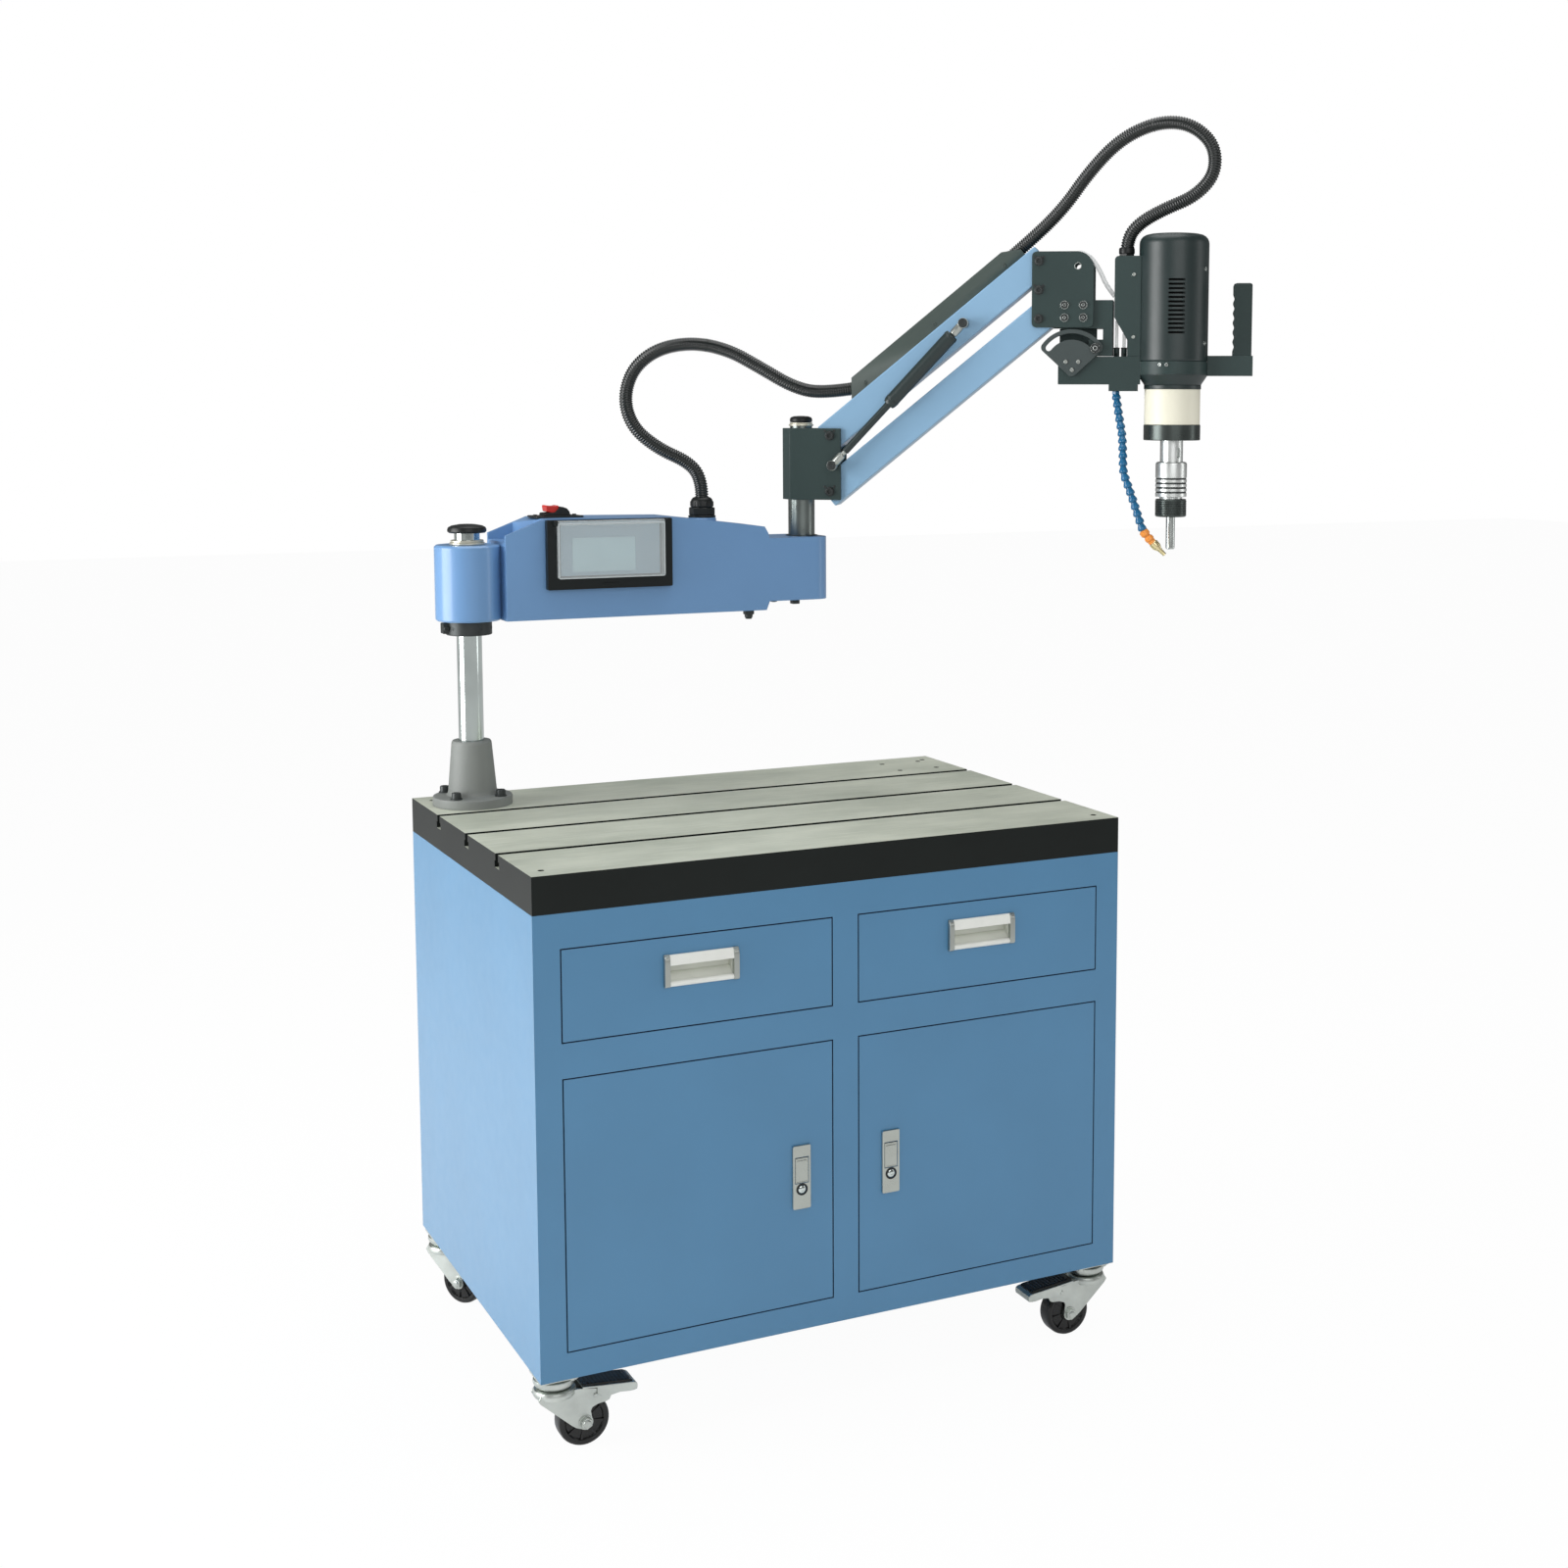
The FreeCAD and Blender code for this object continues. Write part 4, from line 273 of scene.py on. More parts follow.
class Value:
    """One output of a node. Arithmetic on it adds Math nodes."""

    def __init__(self, nodes, socket):
        self.nodes = nodes
        self.socket = socket

    def maths(self, operation, first, second):
        return self.nodes.node("Math", {"operation": operation}, {0: first, 1: second})

    def __add__(self, other):
        return self.maths("ADD", self, other)

    def __radd__(self, other):
        return self.maths("ADD", other, self)

    def __sub__(self, other):
        return self.maths("SUBTRACT", self, other)

    def __rsub__(self, other):
        return self.maths("SUBTRACT", other, self)

    def __mul__(self, other):
        return self.maths("MULTIPLY", self, other)

    def __rmul__(self, other):
        return self.maths("MULTIPLY", other, self)

    def most(self, other):
        return self.maths("MAXIMUM", self, other)


class Nodes:
    """Makes and links the nodes of one tree."""

    def __init__(self, tree):
        self.tree = tree

    def plug(self, socket, value):
        if isinstance(value, Value):
            self.tree.links.new(value.socket, socket)
        else:
            socket.default_value = (*value, 1) if socket.type == "RGBA" else value

    def node(self, kind, settings=None, inputs=None, output=0):
        made = self.tree.nodes.new("ShaderNode" + kind)
        for name, value in (settings or {}).items():
            setattr(made, name, value)
        for name, value in (inputs or {}).items():
            self.plug(made.inputs[name], value)
        return Value(self, made.outputs[output])

    def rays(self):
        """Whether a ray comes from the camera, off a shiny face or through a clear one."""
        kinds = ("Camera", "Glossy", "Transmission")
        return [self.node("LightPath", output=f"Is {kind} Ray") for kind in kinds]


materials = {}


class Shader(Nodes):
    """A material with a Principled surface, kept in materials under its name."""

    def __init__(self, name):
        material = materials[name] = bpy.data.materials.new(name)
        material.use_nodes = True
        super().__init__(material.node_tree)
        self.tree.nodes.clear()
        self.principled = self.tree.nodes.new("ShaderNodeBsdfPrincipled")
        self.surface = Value(self, self.principled.outputs[0])
        self.output = self.tree.nodes.new("ShaderNodeOutputMaterial").inputs[0]
        self.plug(self.output, self.surface)
        self.coordinates = self.node("TexCoord", output="Object")

    def noise(self, scale, detail=3, roughness=0.5, stretch=(1, 1, 1)):
        """Noise on Object coordinates, stretched along each axis."""
        place = self.node("Mapping", {}, {"Vector": self.coordinates, "Scale": stretch})
        inputs = {"Vector": place, "Scale": scale, "Detail": detail, "Roughness": roughness}
        return self.node("TexNoise", {}, inputs)

    def band(self, value, low, high):
        """A value mapped from a range to 0 to 1 and held at its ends."""
        return self.node("MapRange", {"clamp": True}, {0: value, 1: low, 2: high, 3: 0, 4: 1})

    def blend(self, factor, first, second):
        return self.node("Mix", {"data_type": "RGBA"}, {0: factor, 6: first, 7: second}, 2)

    def softened(self, radius):
        """The surface's normal with its edges rounded by a radius."""
        return self.node("Bevel", {"samples": 4}, {"Radius": radius * MM})

    def edges(self, radius):
        """How sharply the surface turns within a radius: 1 on an edge, 0 on a flat."""
        normals = {0: self.softened(radius), 1: self.node("NewGeometry", output="Normal")}
        return self.band(self.node("VectorMath", {"operation": "DOT_PRODUCT"}, normals, "Value"), 0.99, 0.8)

    def relief(self, height, depth, soften):
        """A bump of a depth, over edges rounded by a radius."""
        inputs = {"Height": height, "Distance": depth * MM, "Strength": 1, "Normal": self.softened(soften)}
        return self.node("Bump", {}, inputs)

    def set(self, **values):
        """Plug values into the surface's sockets, named with underscores."""
        for name, value in values.items():
            self.plug(self.principled.inputs[name.replace("_", " ").title().replace("Ior", "IOR")], value)


def shade(base, factor):
    """A colour made darker or lighter."""
    return tuple(min(1, part * factor) for part in base)


def srgb(red, green, blue):
    """A colour from its 0 to 255 values, as light."""
    values = [value / 255 for value in (red, green, blue)]
    return tuple(v / 12.92 if v <= 0.04045 else ((v + 0.055) / 1.055) ** 2.4 for v in values)


# ---- finishes

def paint(name, base, rough=0.4, peel=0.02, patch=0.06, soften=0.8, coat=0, edge_wear_and_highlight=None, grain=900, shine=0.5):
    """Sprayed paint: faint patches, orange peel, softened edges, and where asked edges lightened in patches, for wear
    and as painted highlight.
    """
    shader = Shader(name)
    cloud = shader.band(shader.noise(6, 4), 0.3, 0.7)
    tone = shader.blend(cloud, shade(base, 1 - patch), shade(base, 1 + patch))
    if edge_wear_and_highlight:
        # patchy lighter edges: worn paint, and painted highlight where the edges catch the light
        edge = shader.edges(soften + 0.4) * shader.band(shader.noise(160, 4), 0.45, 0.6)
        tone = shader.blend(edge * 0.8, tone, edge_wear_and_highlight)
    shader.set(
        base_color=tone, roughness=rough + 0.08 * shader.noise(40, 3) - 0.04,
        normal=shader.relief(shader.noise(grain, 2), peel, soften), specular_ior_level=shine,
    )
    if coat:
        shader.set(coat_weight=coat, coat_roughness=0.12)


def steel(name, base, rough, depth=0.004, streak=1, patch=0.1, metal=1):
    """Machined or plated metal: fine streaks along Z and light staining."""
    shader = Shader(name)
    lines = shader.noise(700, 2, 0.6, (1, 1, streak))
    stain = shader.band(shader.noise(25, 4), 0.35, 0.65)
    shader.set(
        base_color=shader.blend(stain, shade(base, 1 - patch), base), metallic=metal,
        roughness=rough + 0.12 * lines * stain, normal=shader.relief(lines, depth, 0.5),
    )


def plastic(name, base, rough=0.4, depth=0.01, grain=1500, shine=0.5):
    """Moulded plastic with a fine grain."""
    shader = Shader(name)
    shader.set(
        base_color=shader.blend(shader.noise(30, 2), shade(base, 0.85), base),
        roughness=rough + 0.1 * shader.noise(60, 3) - 0.05,
        normal=shader.relief(shader.noise(grain, 2), depth, 0.4), specular_ior_level=shine,
    )


def table_iron():
    """Ground and oiled cast iron on top; dark oiled skin on the sides."""
    shader = Shader("table_iron")
    up = shader.node("SeparateXYZ", {}, {0: shader.node("NewGeometry", output="Normal")}, "Z")
    up = shader.band(up, 0.5, 0.9)
    cloud = shader.band(shader.noise(5, 6, 0.65, (0.7, 1.6, 1)), 0.2, 0.8)
    streak = shader.noise(260, 3, 0.6, (0.06, 1, 1))
    top = shader.blend(cloud, srgb(172, 180, 164), srgb(220, 224, 208))
    top = shader.blend(shader.band(streak, 0.45, 0.75) * 0.35, top, srgb(236, 238, 226))
    side = shader.blend(cloud, srgb(13, 19, 17), srgb(22, 28, 26))
    shader.set(
        base_color=shader.blend(up, side, top), metallic=up * 0.3,
        roughness=0.42 - up * 0.12 + 0.14 * cloud * up, normal=shader.relief(streak, 0.006, 0.8),
        specular_ior_level=0.25,
    )


def clear(name, tint, alpha, rough=0.05):
    """Clear plastic as a thin tinted film."""
    shader = Shader(name)
    shader.set(base_color=tint, roughness=rough, alpha=alpha + 0.06 * shader.noise(12, 3), coat_weight=0.6)


def finishes():
    paint("cabinet_paint", srgb(76, 132, 172), 0.34, 0.025, 0.03, 1.5, coat=0.4)
    paint("arm_paint", srgb(104, 146, 192), 0.38, 0.02, 0.03, 1.6, coat=0.35)
    paint("link_paint", srgb(132, 170, 200), 0.36, 0.02, 0.03, 1.6, coat=0.2)
    paint("slate_paint", srgb(46, 62, 61), 0.42, 0.03, 0.08, 1.2, edge_wear_and_highlight=srgb(88, 100, 100), shine=0.35)
    paint("motor_paint", srgb(23, 40, 40), 0.4, 0.02, 0.05, 1.2, shine=0.65)
    paint("cover_paint", srgb(70, 81, 77), 0.4, 0.02, 0.05, 1.2, shine=0.4)
    paint("quadrant_paint", srgb(60, 70, 70), 0.45, 0.05, 0.1, 1.0, edge_wear_and_highlight=srgb(104, 112, 110))
    paint("cream_paint", srgb(236, 233, 214), 0.42, 0.02, 0.03, 0.6)
    paint("casting_paint", srgb(120, 124, 121), 0.55, 0.25, 0.12, 1.4, edge_wear_and_highlight=srgb(150, 152, 150), grain=220)
    table_iron()
    steel("chromed_steel", (0.68, 0.75, 0.73), 0.09, 0.00005, streak=0.02)
    steel("satin_chrome", (0.90, 0.93, 0.91), 0.33, 0.0002, streak=0.02)
    steel("ground_steel", (0.62, 0.66, 0.64), 0.2, 0.0003, streak=0.05)
    steel("post_steel", (0.22, 0.25, 0.24), 0.26, 0.001, streak=0.05)
    steel("satin_black_steel", (0.085, 0.10, 0.095), 0.27, 0.002, streak=0.05, metal=0.8)
    steel("black_steel", (0.05, 0.056, 0.056), 0.38, 0.006, metal=0.6)
    steel("nickel_plate", (0.50, 0.53, 0.49), 0.26, 0.003)
    steel("zinc_plate", (0.66, 0.70, 0.66), 0.36, 0.01, patch=0.2)
    steel("satin_aluminium", (0.50, 0.53, 0.50), 0.34)
    steel("cream_metal", (0.74, 0.72, 0.60), 0.3, metal=0.6)
    steel("brass", (0.93, 0.80, 0.46), 0.27, 0.003)
    plastic("black_plastic", srgb(20, 24, 24), 0.4, shine=0.4)
    plastic("wheel_rubber", srgb(17, 18, 18), 0.26)
    plastic("hose_plastic", srgb(17, 24, 23), 0.24, shine=0.7)
    plastic("panel_plastic", srgb(18, 24, 25), 0.38, shine=0.3)
    plastic("red_plastic", srgb(205, 42, 34), 0.3)
    plastic("blue_plastic", srgb(30, 104, 148), 0.24)
    plastic("orange_plastic", srgb(240, 152, 66), 0.3)
    plastic("cream_plastic", srgb(226, 229, 218), 0.35)
    plastic("white_plastic", srgb(244, 246, 240), 0.3)
    plastic("grip_rubber", srgb(42, 56, 55), 0.5, 0.05, 500, shine=0.3)
    # painted shade: near-black and matte, for the shadow seen through the motor's vent slots
    plastic("vent_dark", srgb(4, 5, 5), 0.9)
    # painted shade: near-black navy for the shadow deep in the door and drawer gaps
    plastic("gap_painted_shade", srgb(5, 17, 38), 0.7, shine=0.2)
    plastic("bezel_plastic", srgb(136, 164, 180), 0.3)
    plastic("screen_glass", srgb(172, 204, 212), 0.18, 0.002)
    clear("clear_rim", (0.80, 0.86, 0.88), 0.4)
    clear("clear_cover", (0.78, 0.84, 0.86), 0.22)
    clear("clear_tube", (0.85, 0.88, 0.88), 0.45, 0.12)


def backdrop():
    """A pale floor and sky that the camera sees as white; the floor keeps the object's soft shadow."""
    bpy.ops.object.select_all(action="DESELECT")
    bpy.ops.mesh.primitive_plane_add(size=40)
    ground = bpy.context.object
    ground.name = "studio_floor"
    shader = Shader("studio_floor")
    shader.set(base_color=(0.8, 0.8, 0.8), roughness=0.9)
    camera_ray, shiny_ray, clear_ray = shader.rays()
    seen = camera_ray.most(shiny_ray * 0.3).most(clear_ray)
    glow = shader.node("Emission", {}, {"Color": (1, 1, 1), "Strength": 1})
    shader.plug(shader.output, shader.node("MixShader", {}, {0: seen * 0.965, 1: shader.surface, 2: glow}))
    ground.data.materials.append(materials["studio_floor"])
    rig.stage(ground)
    world = bpy.data.worlds.new("studio")
    bpy.context.scene.world = world
    world.use_nodes = True
    sky = Nodes(world.node_tree)
    camera_ray, shiny_ray, clear_ray = sky.rays()
    light = world.node_tree.nodes["Background"]
    sky.plug(light.inputs["Color"], (1, 1, 1))
    sky.plug(light.inputs["Strength"], camera_ray.most(clear_ray).most(0.43 - shiny_ray * 0.27))


# ---- making pieces

def deselect():
    if bpy.context.object and bpy.context.object.mode != "OBJECT":
        bpy.ops.object.mode_set(mode="OBJECT")
    bpy.ops.object.select_all(action="DESELECT")


def only(piece):
    deselect()
    piece.select_set(True)
    bpy.context.view_layer.objects.active = piece


def edit(piece, kind="VERT", chosen=None):
    """Go into edit mode with all of a piece selected, or only its edges or faces that pass a test."""
    only(piece)
    bpy.ops.object.mode_set(mode="EDIT")
    bpy.ops.mesh.select_mode(type=kind)
    bpy.ops.mesh.select_all(action="DESELECT" if chosen else "SELECT")
    if chosen:
        bpy.ops.object.mode_set(mode="OBJECT")
        for part in piece.data.edges if kind == "EDGE" else piece.data.polygons:
            part.select = chosen(part)
        bpy.ops.object.mode_set(mode="EDIT")


def close_up(merge=False):
    """Turn all faces outwards, after merging doubles where asked, and leave edit mode."""
    bpy.ops.mesh.select_all(action="SELECT")
    if merge:
        bpy.ops.mesh.remove_doubles(threshold=0.01 * MM)
    bpy.ops.mesh.normals_make_consistent(inside=False)
    bpy.ops.object.mode_set(mode="OBJECT")


def block(x0, x1, y0, y1, z0, z1):
    """A cuboid between two corners."""
    deselect()
    spans = ((x0, x1), (y0, y1), (z0, z1))
    centre = [(a + b) / 2 * MM for a, b in spans]
    bpy.ops.mesh.primitive_cube_add(size=1, location=centre, scale=[abs(b - a) * MM for a, b in spans])
    bpy.ops.object.transform_apply(location=True, rotation=True, scale=True)
    return bpy.context.object


def turned(rings, x=0, y=0, z=0, axis="Z", sides=48, closed=False):
    """A profile of (radius, height) rings, drawn up from a circle by extruding and scaling."""
    deselect()
    radius, height = rings[0]
    bpy.ops.mesh.primitive_circle_add(vertices=sides, radius=radius * MM, location=(0, 0, height * MM))
    bpy.ops.object.transform_apply(location=True, rotation=True, scale=True)
    piece = bpy.context.object
    edit(piece)
    if not closed:
        bpy.ops.mesh.edge_face_add()
    for wide, high in rings[1:]:
        bpy.ops.mesh.extrude_region_move(TRANSFORM_OT_translate={"value": (0, 0, (high - height) * MM)})
        factor = wide / radius
        bpy.ops.transform.resize(value=(factor, factor, 1), center_override=(0, 0, high * MM))
        radius, height = wide, high
    close_up(merge=True)
    piece.data.transform(shift(x, y, z) @ ALONG[axis])
    return piece


def peg(x, y, z, rings, axis="Z", sides=24):
    """A small turned shape at a point."""
    return turned(rings, x, y, z, axis, sides)


def rod(x, y, z, radius, length, axis="Z", edge=0.5, sides=32):
    """A round bar with small chamfers, from a point along an axis."""
    rings = [(radius - edge, 0), (radius, edge), (radius, length - edge), (radius - edge, length)]
    return turned(rings, x, y, z, axis, sides)


def sheet_of(points, start, end, plane="XZ"):
    """A flat outline, filled and extruded from start to end across its plane."""
    deselect()
    bpy.ops.mesh.primitive_circle_add(vertices=len(points), fill_type="NGON")
    piece = bpy.context.object
    across = next(index for index, axis in enumerate("XYZ") if axis not in plane)
    for vertex, point in zip(piece.data.vertices, points):
        place = list(point)
        place.insert(across, start)
        vertex.co = Vector(place) * MM
    way = [0, 0, 0]
    way[across] = (end - start) * MM
    edit(piece)
    bpy.ops.mesh.extrude_region_move(TRANSFORM_OT_translate={"value": way})
    close_up()
    return piece


def modify(piece, kind, **settings):
    only(piece)
    modifier = piece.modifiers.new(kind.lower(), kind)
    for name, value in settings.items():
        setattr(modifier, name, value)
    bpy.ops.object.modifier_apply(modifier=modifier.name)
    return piece


def rounded(piece, width, segments=3, angle=30):
    """Round every edge that turns by more than an angle."""
    limit = math.radians(angle)
    shape = {"width": width * MM, "segments": segments}
    return modify(piece, "BEVEL", **shape, limit_method="ANGLE", angle_limit=limit)


def inset(piece, way, border, depth):
    """Sink or raise the faces that look along Y (way 1) or against it (way -1), inside a border."""
    edit(piece, "FACE", lambda face: face.normal.y * way > 0.9)
    bpy.ops.mesh.inset(thickness=border * MM, depth=0)
    bpy.ops.mesh.inset(thickness=0.0001 * MM, depth=depth * MM)
    bpy.ops.object.mode_set(mode="OBJECT")
    return piece


def bevel_edges(piece, width, segments, axis=None, where=lambda middle: True):
    """Round the edges that run along an axis and whose middle passes a test."""
    def chosen(edge):
        first, last = (piece.data.vertices[index].co / MM for index in edge.vertices)
        along = not axis or abs((last - first).normalized()["XYZ".index(axis)]) > 0.99
        return along and where((first + last) / 2)

    edit(piece, "EDGE", chosen)
    bpy.ops.mesh.bevel(offset=width * MM, segments=segments, affect="EDGES", clamp_overlap=True)
    bpy.ops.object.mode_set(mode="OBJECT")
    return piece


def carve(piece, *tools, operation="DIFFERENCE"):
    """Cut tools out of a piece, or fuse them with it."""
    for tool in tools:
        modify(piece, "BOOLEAN", operation=operation, object=tool, solver="EXACT")
        bpy.data.objects.remove(tool)
    return piece


def join(piece, *others):
    only(piece)
    for other in others:
        other.select_set(True)
    bpy.ops.object.join()
    return piece


def copy(piece, place=floor):
    """The same piece again at another place, with its own mesh."""
    twin = piece.copy()
    twin.data = piece.data.copy()
    bpy.context.collection.objects.link(twin)
    twin.data.transform(place)
    return twin


def spread(piece, places):
    """A shape modelled once and set at each place."""
    twins = [copy(piece, place) for place in places]
    bpy.data.objects.remove(piece)
    return twins


def cap_screw(x, y, z, radius, height, axis="Z"):
    """A screw head with its socket."""
    hollow = radius * 0.52
    rings = [
        (radius, 0), (radius, height * 0.82), (radius * 0.86, height), (hollow, height),
        (hollow * 0.96, height * 0.4),
    ]
    return turned(rings, x, y, z, axis, 20)


def hexagon(x, y, z, radius, height, axis="Z"):
    rings = [(radius * 0.93, 0), (radius, height * 0.1), (radius, height * 0.9), (radius * 0.93, height)]
    return turned(rings, x, y, z, axis, 6)


def hoop(inner, outer, low, high, x=0, y=0, z=0, axis="Z", edge=0.5, sides=48):
    """A flat ring with small chamfers."""
    rings = [
        (inner, low), (outer - edge, low), (outer, low + edge), (outer, high - edge), (outer - edge, high),
        (inner, high), (inner, low),
    ]
    return turned(rings, x, y, z, axis, sides, closed=True)


def both_faces(make, x, half, z, *sizes, **more):
    """The same fitting on a front face and on the rear face behind it."""
    return [make(x, -half, z, *sizes, "-Y", **more), make(x, half, z, *sizes, "Y", **more)]


def aim(way):
    """What turns a shape made along Z to follow a direction."""
    return Vector((0, 0, 1)).rotation_difference(way).to_matrix().to_4x4()


def aimed(piece, start, way):
    """Set a shape made along Z so that it starts at a point and follows a direction."""
    piece.data.transform(Matrix.Translation(Vector(start) * MM) @ aim(way))
    return piece


def arc(x, z, radius, start, end, steps=8):
    """Points of an arc between two angles."""
    turns = [polar(radius, start + (end - start) * step / steps) for step in range(steps + 1)]
    return [(x + across, z + up) for across, up in turns]


def settle(piece, name, place, body, material, slot, *nodes):
    """Smooth, colour and place a finished piece, and let it ride on its body."""
    only(piece)
    bpy.ops.object.shade_smooth_by_angle(angle=math.radians(35))
    modify(piece, "WEIGHTED_NORMAL", keep_sharp=True)
    piece.data.transform(place)
    piece.name = piece.data.name = name
    piece.data.materials.clear()
    piece.data.materials.append(materials[material])
    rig.ride(piece, body)
    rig.slot(piece, slot)
    if nodes:
        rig.replaces(piece, *nodes)


def settler(place, body):
    """What settles the pieces that share a place and a body."""
    return lambda piece, name, *looks: settle(piece, name, place, body, *looks)


on_column = settler(column, "base")
on_arm = settler(arm, "first_arm")
on_link = settler(link, "upper_link")
on_head = settler(head, "head")
on_tilt = settler(tilt, "tilting_head")
on_motor = settler(motor_axis, "tilting_head")
on_spindle = settler(motor_axis, "spindle")


def settle_each(shape, name, places, body, material, slot, node=None):
    """A shape at several places. Each place's word ends the names of its piece, body and node."""
    for (word, place), twin in zip(places.items(), spread(shape, places.values())):
        nodes = [f"{node}_{word}"] if node else []
        settle(twin, f"{name}_{word}", floor, f"{body}_{word}", material, slot, *nodes)


# ---- cords

# The conduit from the first arm to the cover, in the column's axes.
HOSE_ARM = [
    (423, 0, 516), (423, 0, 546), (402, 4, 577), (347, 16, 602), (303, 25, 640), (290, 28, 692),
    (308, 24, 744), (352, 15, 777), (412, 2, 787), (472, -10, 775), (528, -22, 744), (584, -34, 711),
    (634.6, -42, 699),
]
# Where its lower half starts to turn with the second arm, and where it has turned with it.
HOSE_ARM_TURN = [(494, 5, 565), (402, 5, 770)]
# The conduit from the cover's clamp to the valve box, in the head's axes.
HOSE_HEAD = [
    (-30, 0, 27.2), (38, 0, 90), (86, 0, 158), (140, 0, 213), (205, 0, 241), (262, 0, 236), (302, 0, 200),
    (304, 0, 150), (270, 0, 112), (215, 0, 90), (172, 0, 66), (152, 0, 38),
]
# The air tube from the fixed block to the valve box, in the head's axes.
AIR_TUBE = [(40, 0, -67.4), (40, 0, -34), (45, 0, -4), (64, 0, 19), (88, 0, 11), (105, 0, -14), (117, 0, -42)]
HOSE_RADIUS = 12
HOSE_PITCH = 4.3
RIB = (1.0, 0.99, 0.82, 0.92)  # the radius over one pitch
TUBE_RADIUS = 4


def points_in(place, *points):
    """Points given in a place's axes, in metres in the room."""
    return [place @ (Vector(point) * MM) for point in points]


def spline_line(name, points, samples=14):
    """The smooth line of a cord's own curve through its control points, as a list of points."""
    data = bpy.data.curves.new(name, "CURVE")
    data.dimensions = "3D"
    data.resolution_u = samples
    spline = data.splines.new("NURBS")
    spline.points.add(len(points) - 1)
    for item, point in zip(spline.points, points):
        item.co = (*point, 1)
    spline.order_u = 3
    spline.use_endpoint_u = True
    holder = bpy.data.objects.new(name, data)
    line = bpy.data.meshes.new_from_object(holder)
    result = [vertex.co.copy() for vertex in line.vertices]
    bpy.data.objects.remove(holder)
    return result


def evenly(line, step):
    """The same line with its points a fixed distance apart."""
    lengths = [0]
    for before, after in zip(line, line[1:]):
        lengths.append(lengths[-1] + (after - before).length)
    count = max(2, round(lengths[-1] / step))
    result = []
    index = 0
    for number in range(count + 1):
        want = lengths[-1] * number / count
        while index < len(line) - 2 and lengths[index + 1] < want:
            index += 1
        part = (want - lengths[index]) / max(1e-9, lengths[index + 1] - lengths[index])
        result.append(line[index].lerp(line[index + 1], min(1, part)))
    return result


def sleeve(name, line, radii, sides=20):
    """A tube round a line, with a radius at each of its points."""
    rings = []
    side = (line[1] - line[0]).orthogonal().normalized()
    for number, point in enumerate(line):
        way = (line[min(number + 1, len(line) - 1)] - line[max(number - 1, 0)]).normalized()
        side = (side - way * side.dot(way)).normalized()
        up = way.cross(side)
        turns = [2 * math.pi * step / sides for step in range(sides)]
        rings.append([point + (side * math.cos(a) + up * math.sin(a)) * radii[number] for a in turns])
    vertices = [corner for ring in rings for corner in ring]
    faces = []
    for row in range(len(line) - 1):
        for step in range(sides):
            nxt = (step + 1) % sides
            a, b = row * sides, (row + 1) * sides
            faces.append((a + step, a + nxt, b + nxt, b + step))
    faces.append(tuple(reversed(range(sides))))
    faces.append(tuple(range((len(line) - 1) * sides, len(line) * sides)))
    mesh = bpy.data.meshes.new(name)
    mesh.from_pydata(vertices, [], faces)
    mesh.polygons.foreach_set("use_smooth", [True] * len(mesh.polygons))
    piece = bpy.data.objects.new(name, mesh)
    bpy.context.collection.objects.link(piece)
    return piece


def declare(piece, line, radius, material, slot, bodies, reach, node=None):
    """Colour a cord, say what it is and let it bend between two bodies."""
    piece.data.materials.append(materials[material])
    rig.slot(piece, slot)
    length = sum((after - before).length for before, after in zip(line, line[1:]))
    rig.cord(
        piece, exit=line[0], length=length, diameter=radius * 2 * MM, far_end="object", stiffness="medium",
        lay="hanging", path=line,
    )
    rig.blend(piece, *bodies, start=reach[0], end=reach[1])
    if node:
        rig.replaces(piece, node)


def conduit(name, line, bodies, reach, node=None):
    """A corrugated hose along a line, bending between two bodies."""
    fine = evenly(line, HOSE_PITCH / len(RIB) * MM)
    radii = [HOSE_RADIUS * MM * RIB[number % len(RIB)] for number in range(len(fine))]
    declare(sleeve(name, fine, radii), line, HOSE_RADIUS, "hose_plastic", "hose_black", bodies, reach, node)


def two_parts(name, route, share):
    """A conduit's line in two parts that meet at a share of its length."""
    line = evenly(spline_line(name, route), 4 * MM)
    middle = round(len(line) * share)
    return line[: middle + 1], line[middle:]


def cords():
    route = points_in(column, *HOSE_ARM) + points_in(link, (82.5, 0, 41))
    low, high = two_parts("hose_arm_line", route, 0.6)
    conduit("hose_arm_low", low, ("first_arm", "bracket"), points_in(column, *HOSE_ARM_TURN), "hose_arm")
    conduit("hose_arm_high", high, ("bracket", "upper_link"), (high[0], high[-1]))
    route = points_in(link, (404, 0, 40)) + points_in(head, *HOSE_HEAD) + points_in(tilt, (93.2, 0, 191.8))
    low, high = two_parts("hose_head_line", route, 0.5)
    conduit("hose_head_low", low, ("upper_link", "head"), (low[len(low) // 6], low[-1]), "hose_head")
    conduit("hose_head_high", high, ("head", "tilting_head"), (high[0], high[-len(high) // 6]))
    route = points_in(head, *AIR_TUBE) + points_in(tilt, (73.2, 0, 122.8))
    line = evenly(spline_line("air_tube_line", route), 3 * MM)
    tube = sleeve("air_tube", line, [TUBE_RADIUS * MM] * len(line), 16)
    reach = (line[len(line) // 3], line[-3])
    declare(tube, line, TUBE_RADIUS, "clear_tube", "clear_tube", ("head", "tilting_head"), reach, "air_tubes")


# ---- cabinet fittings

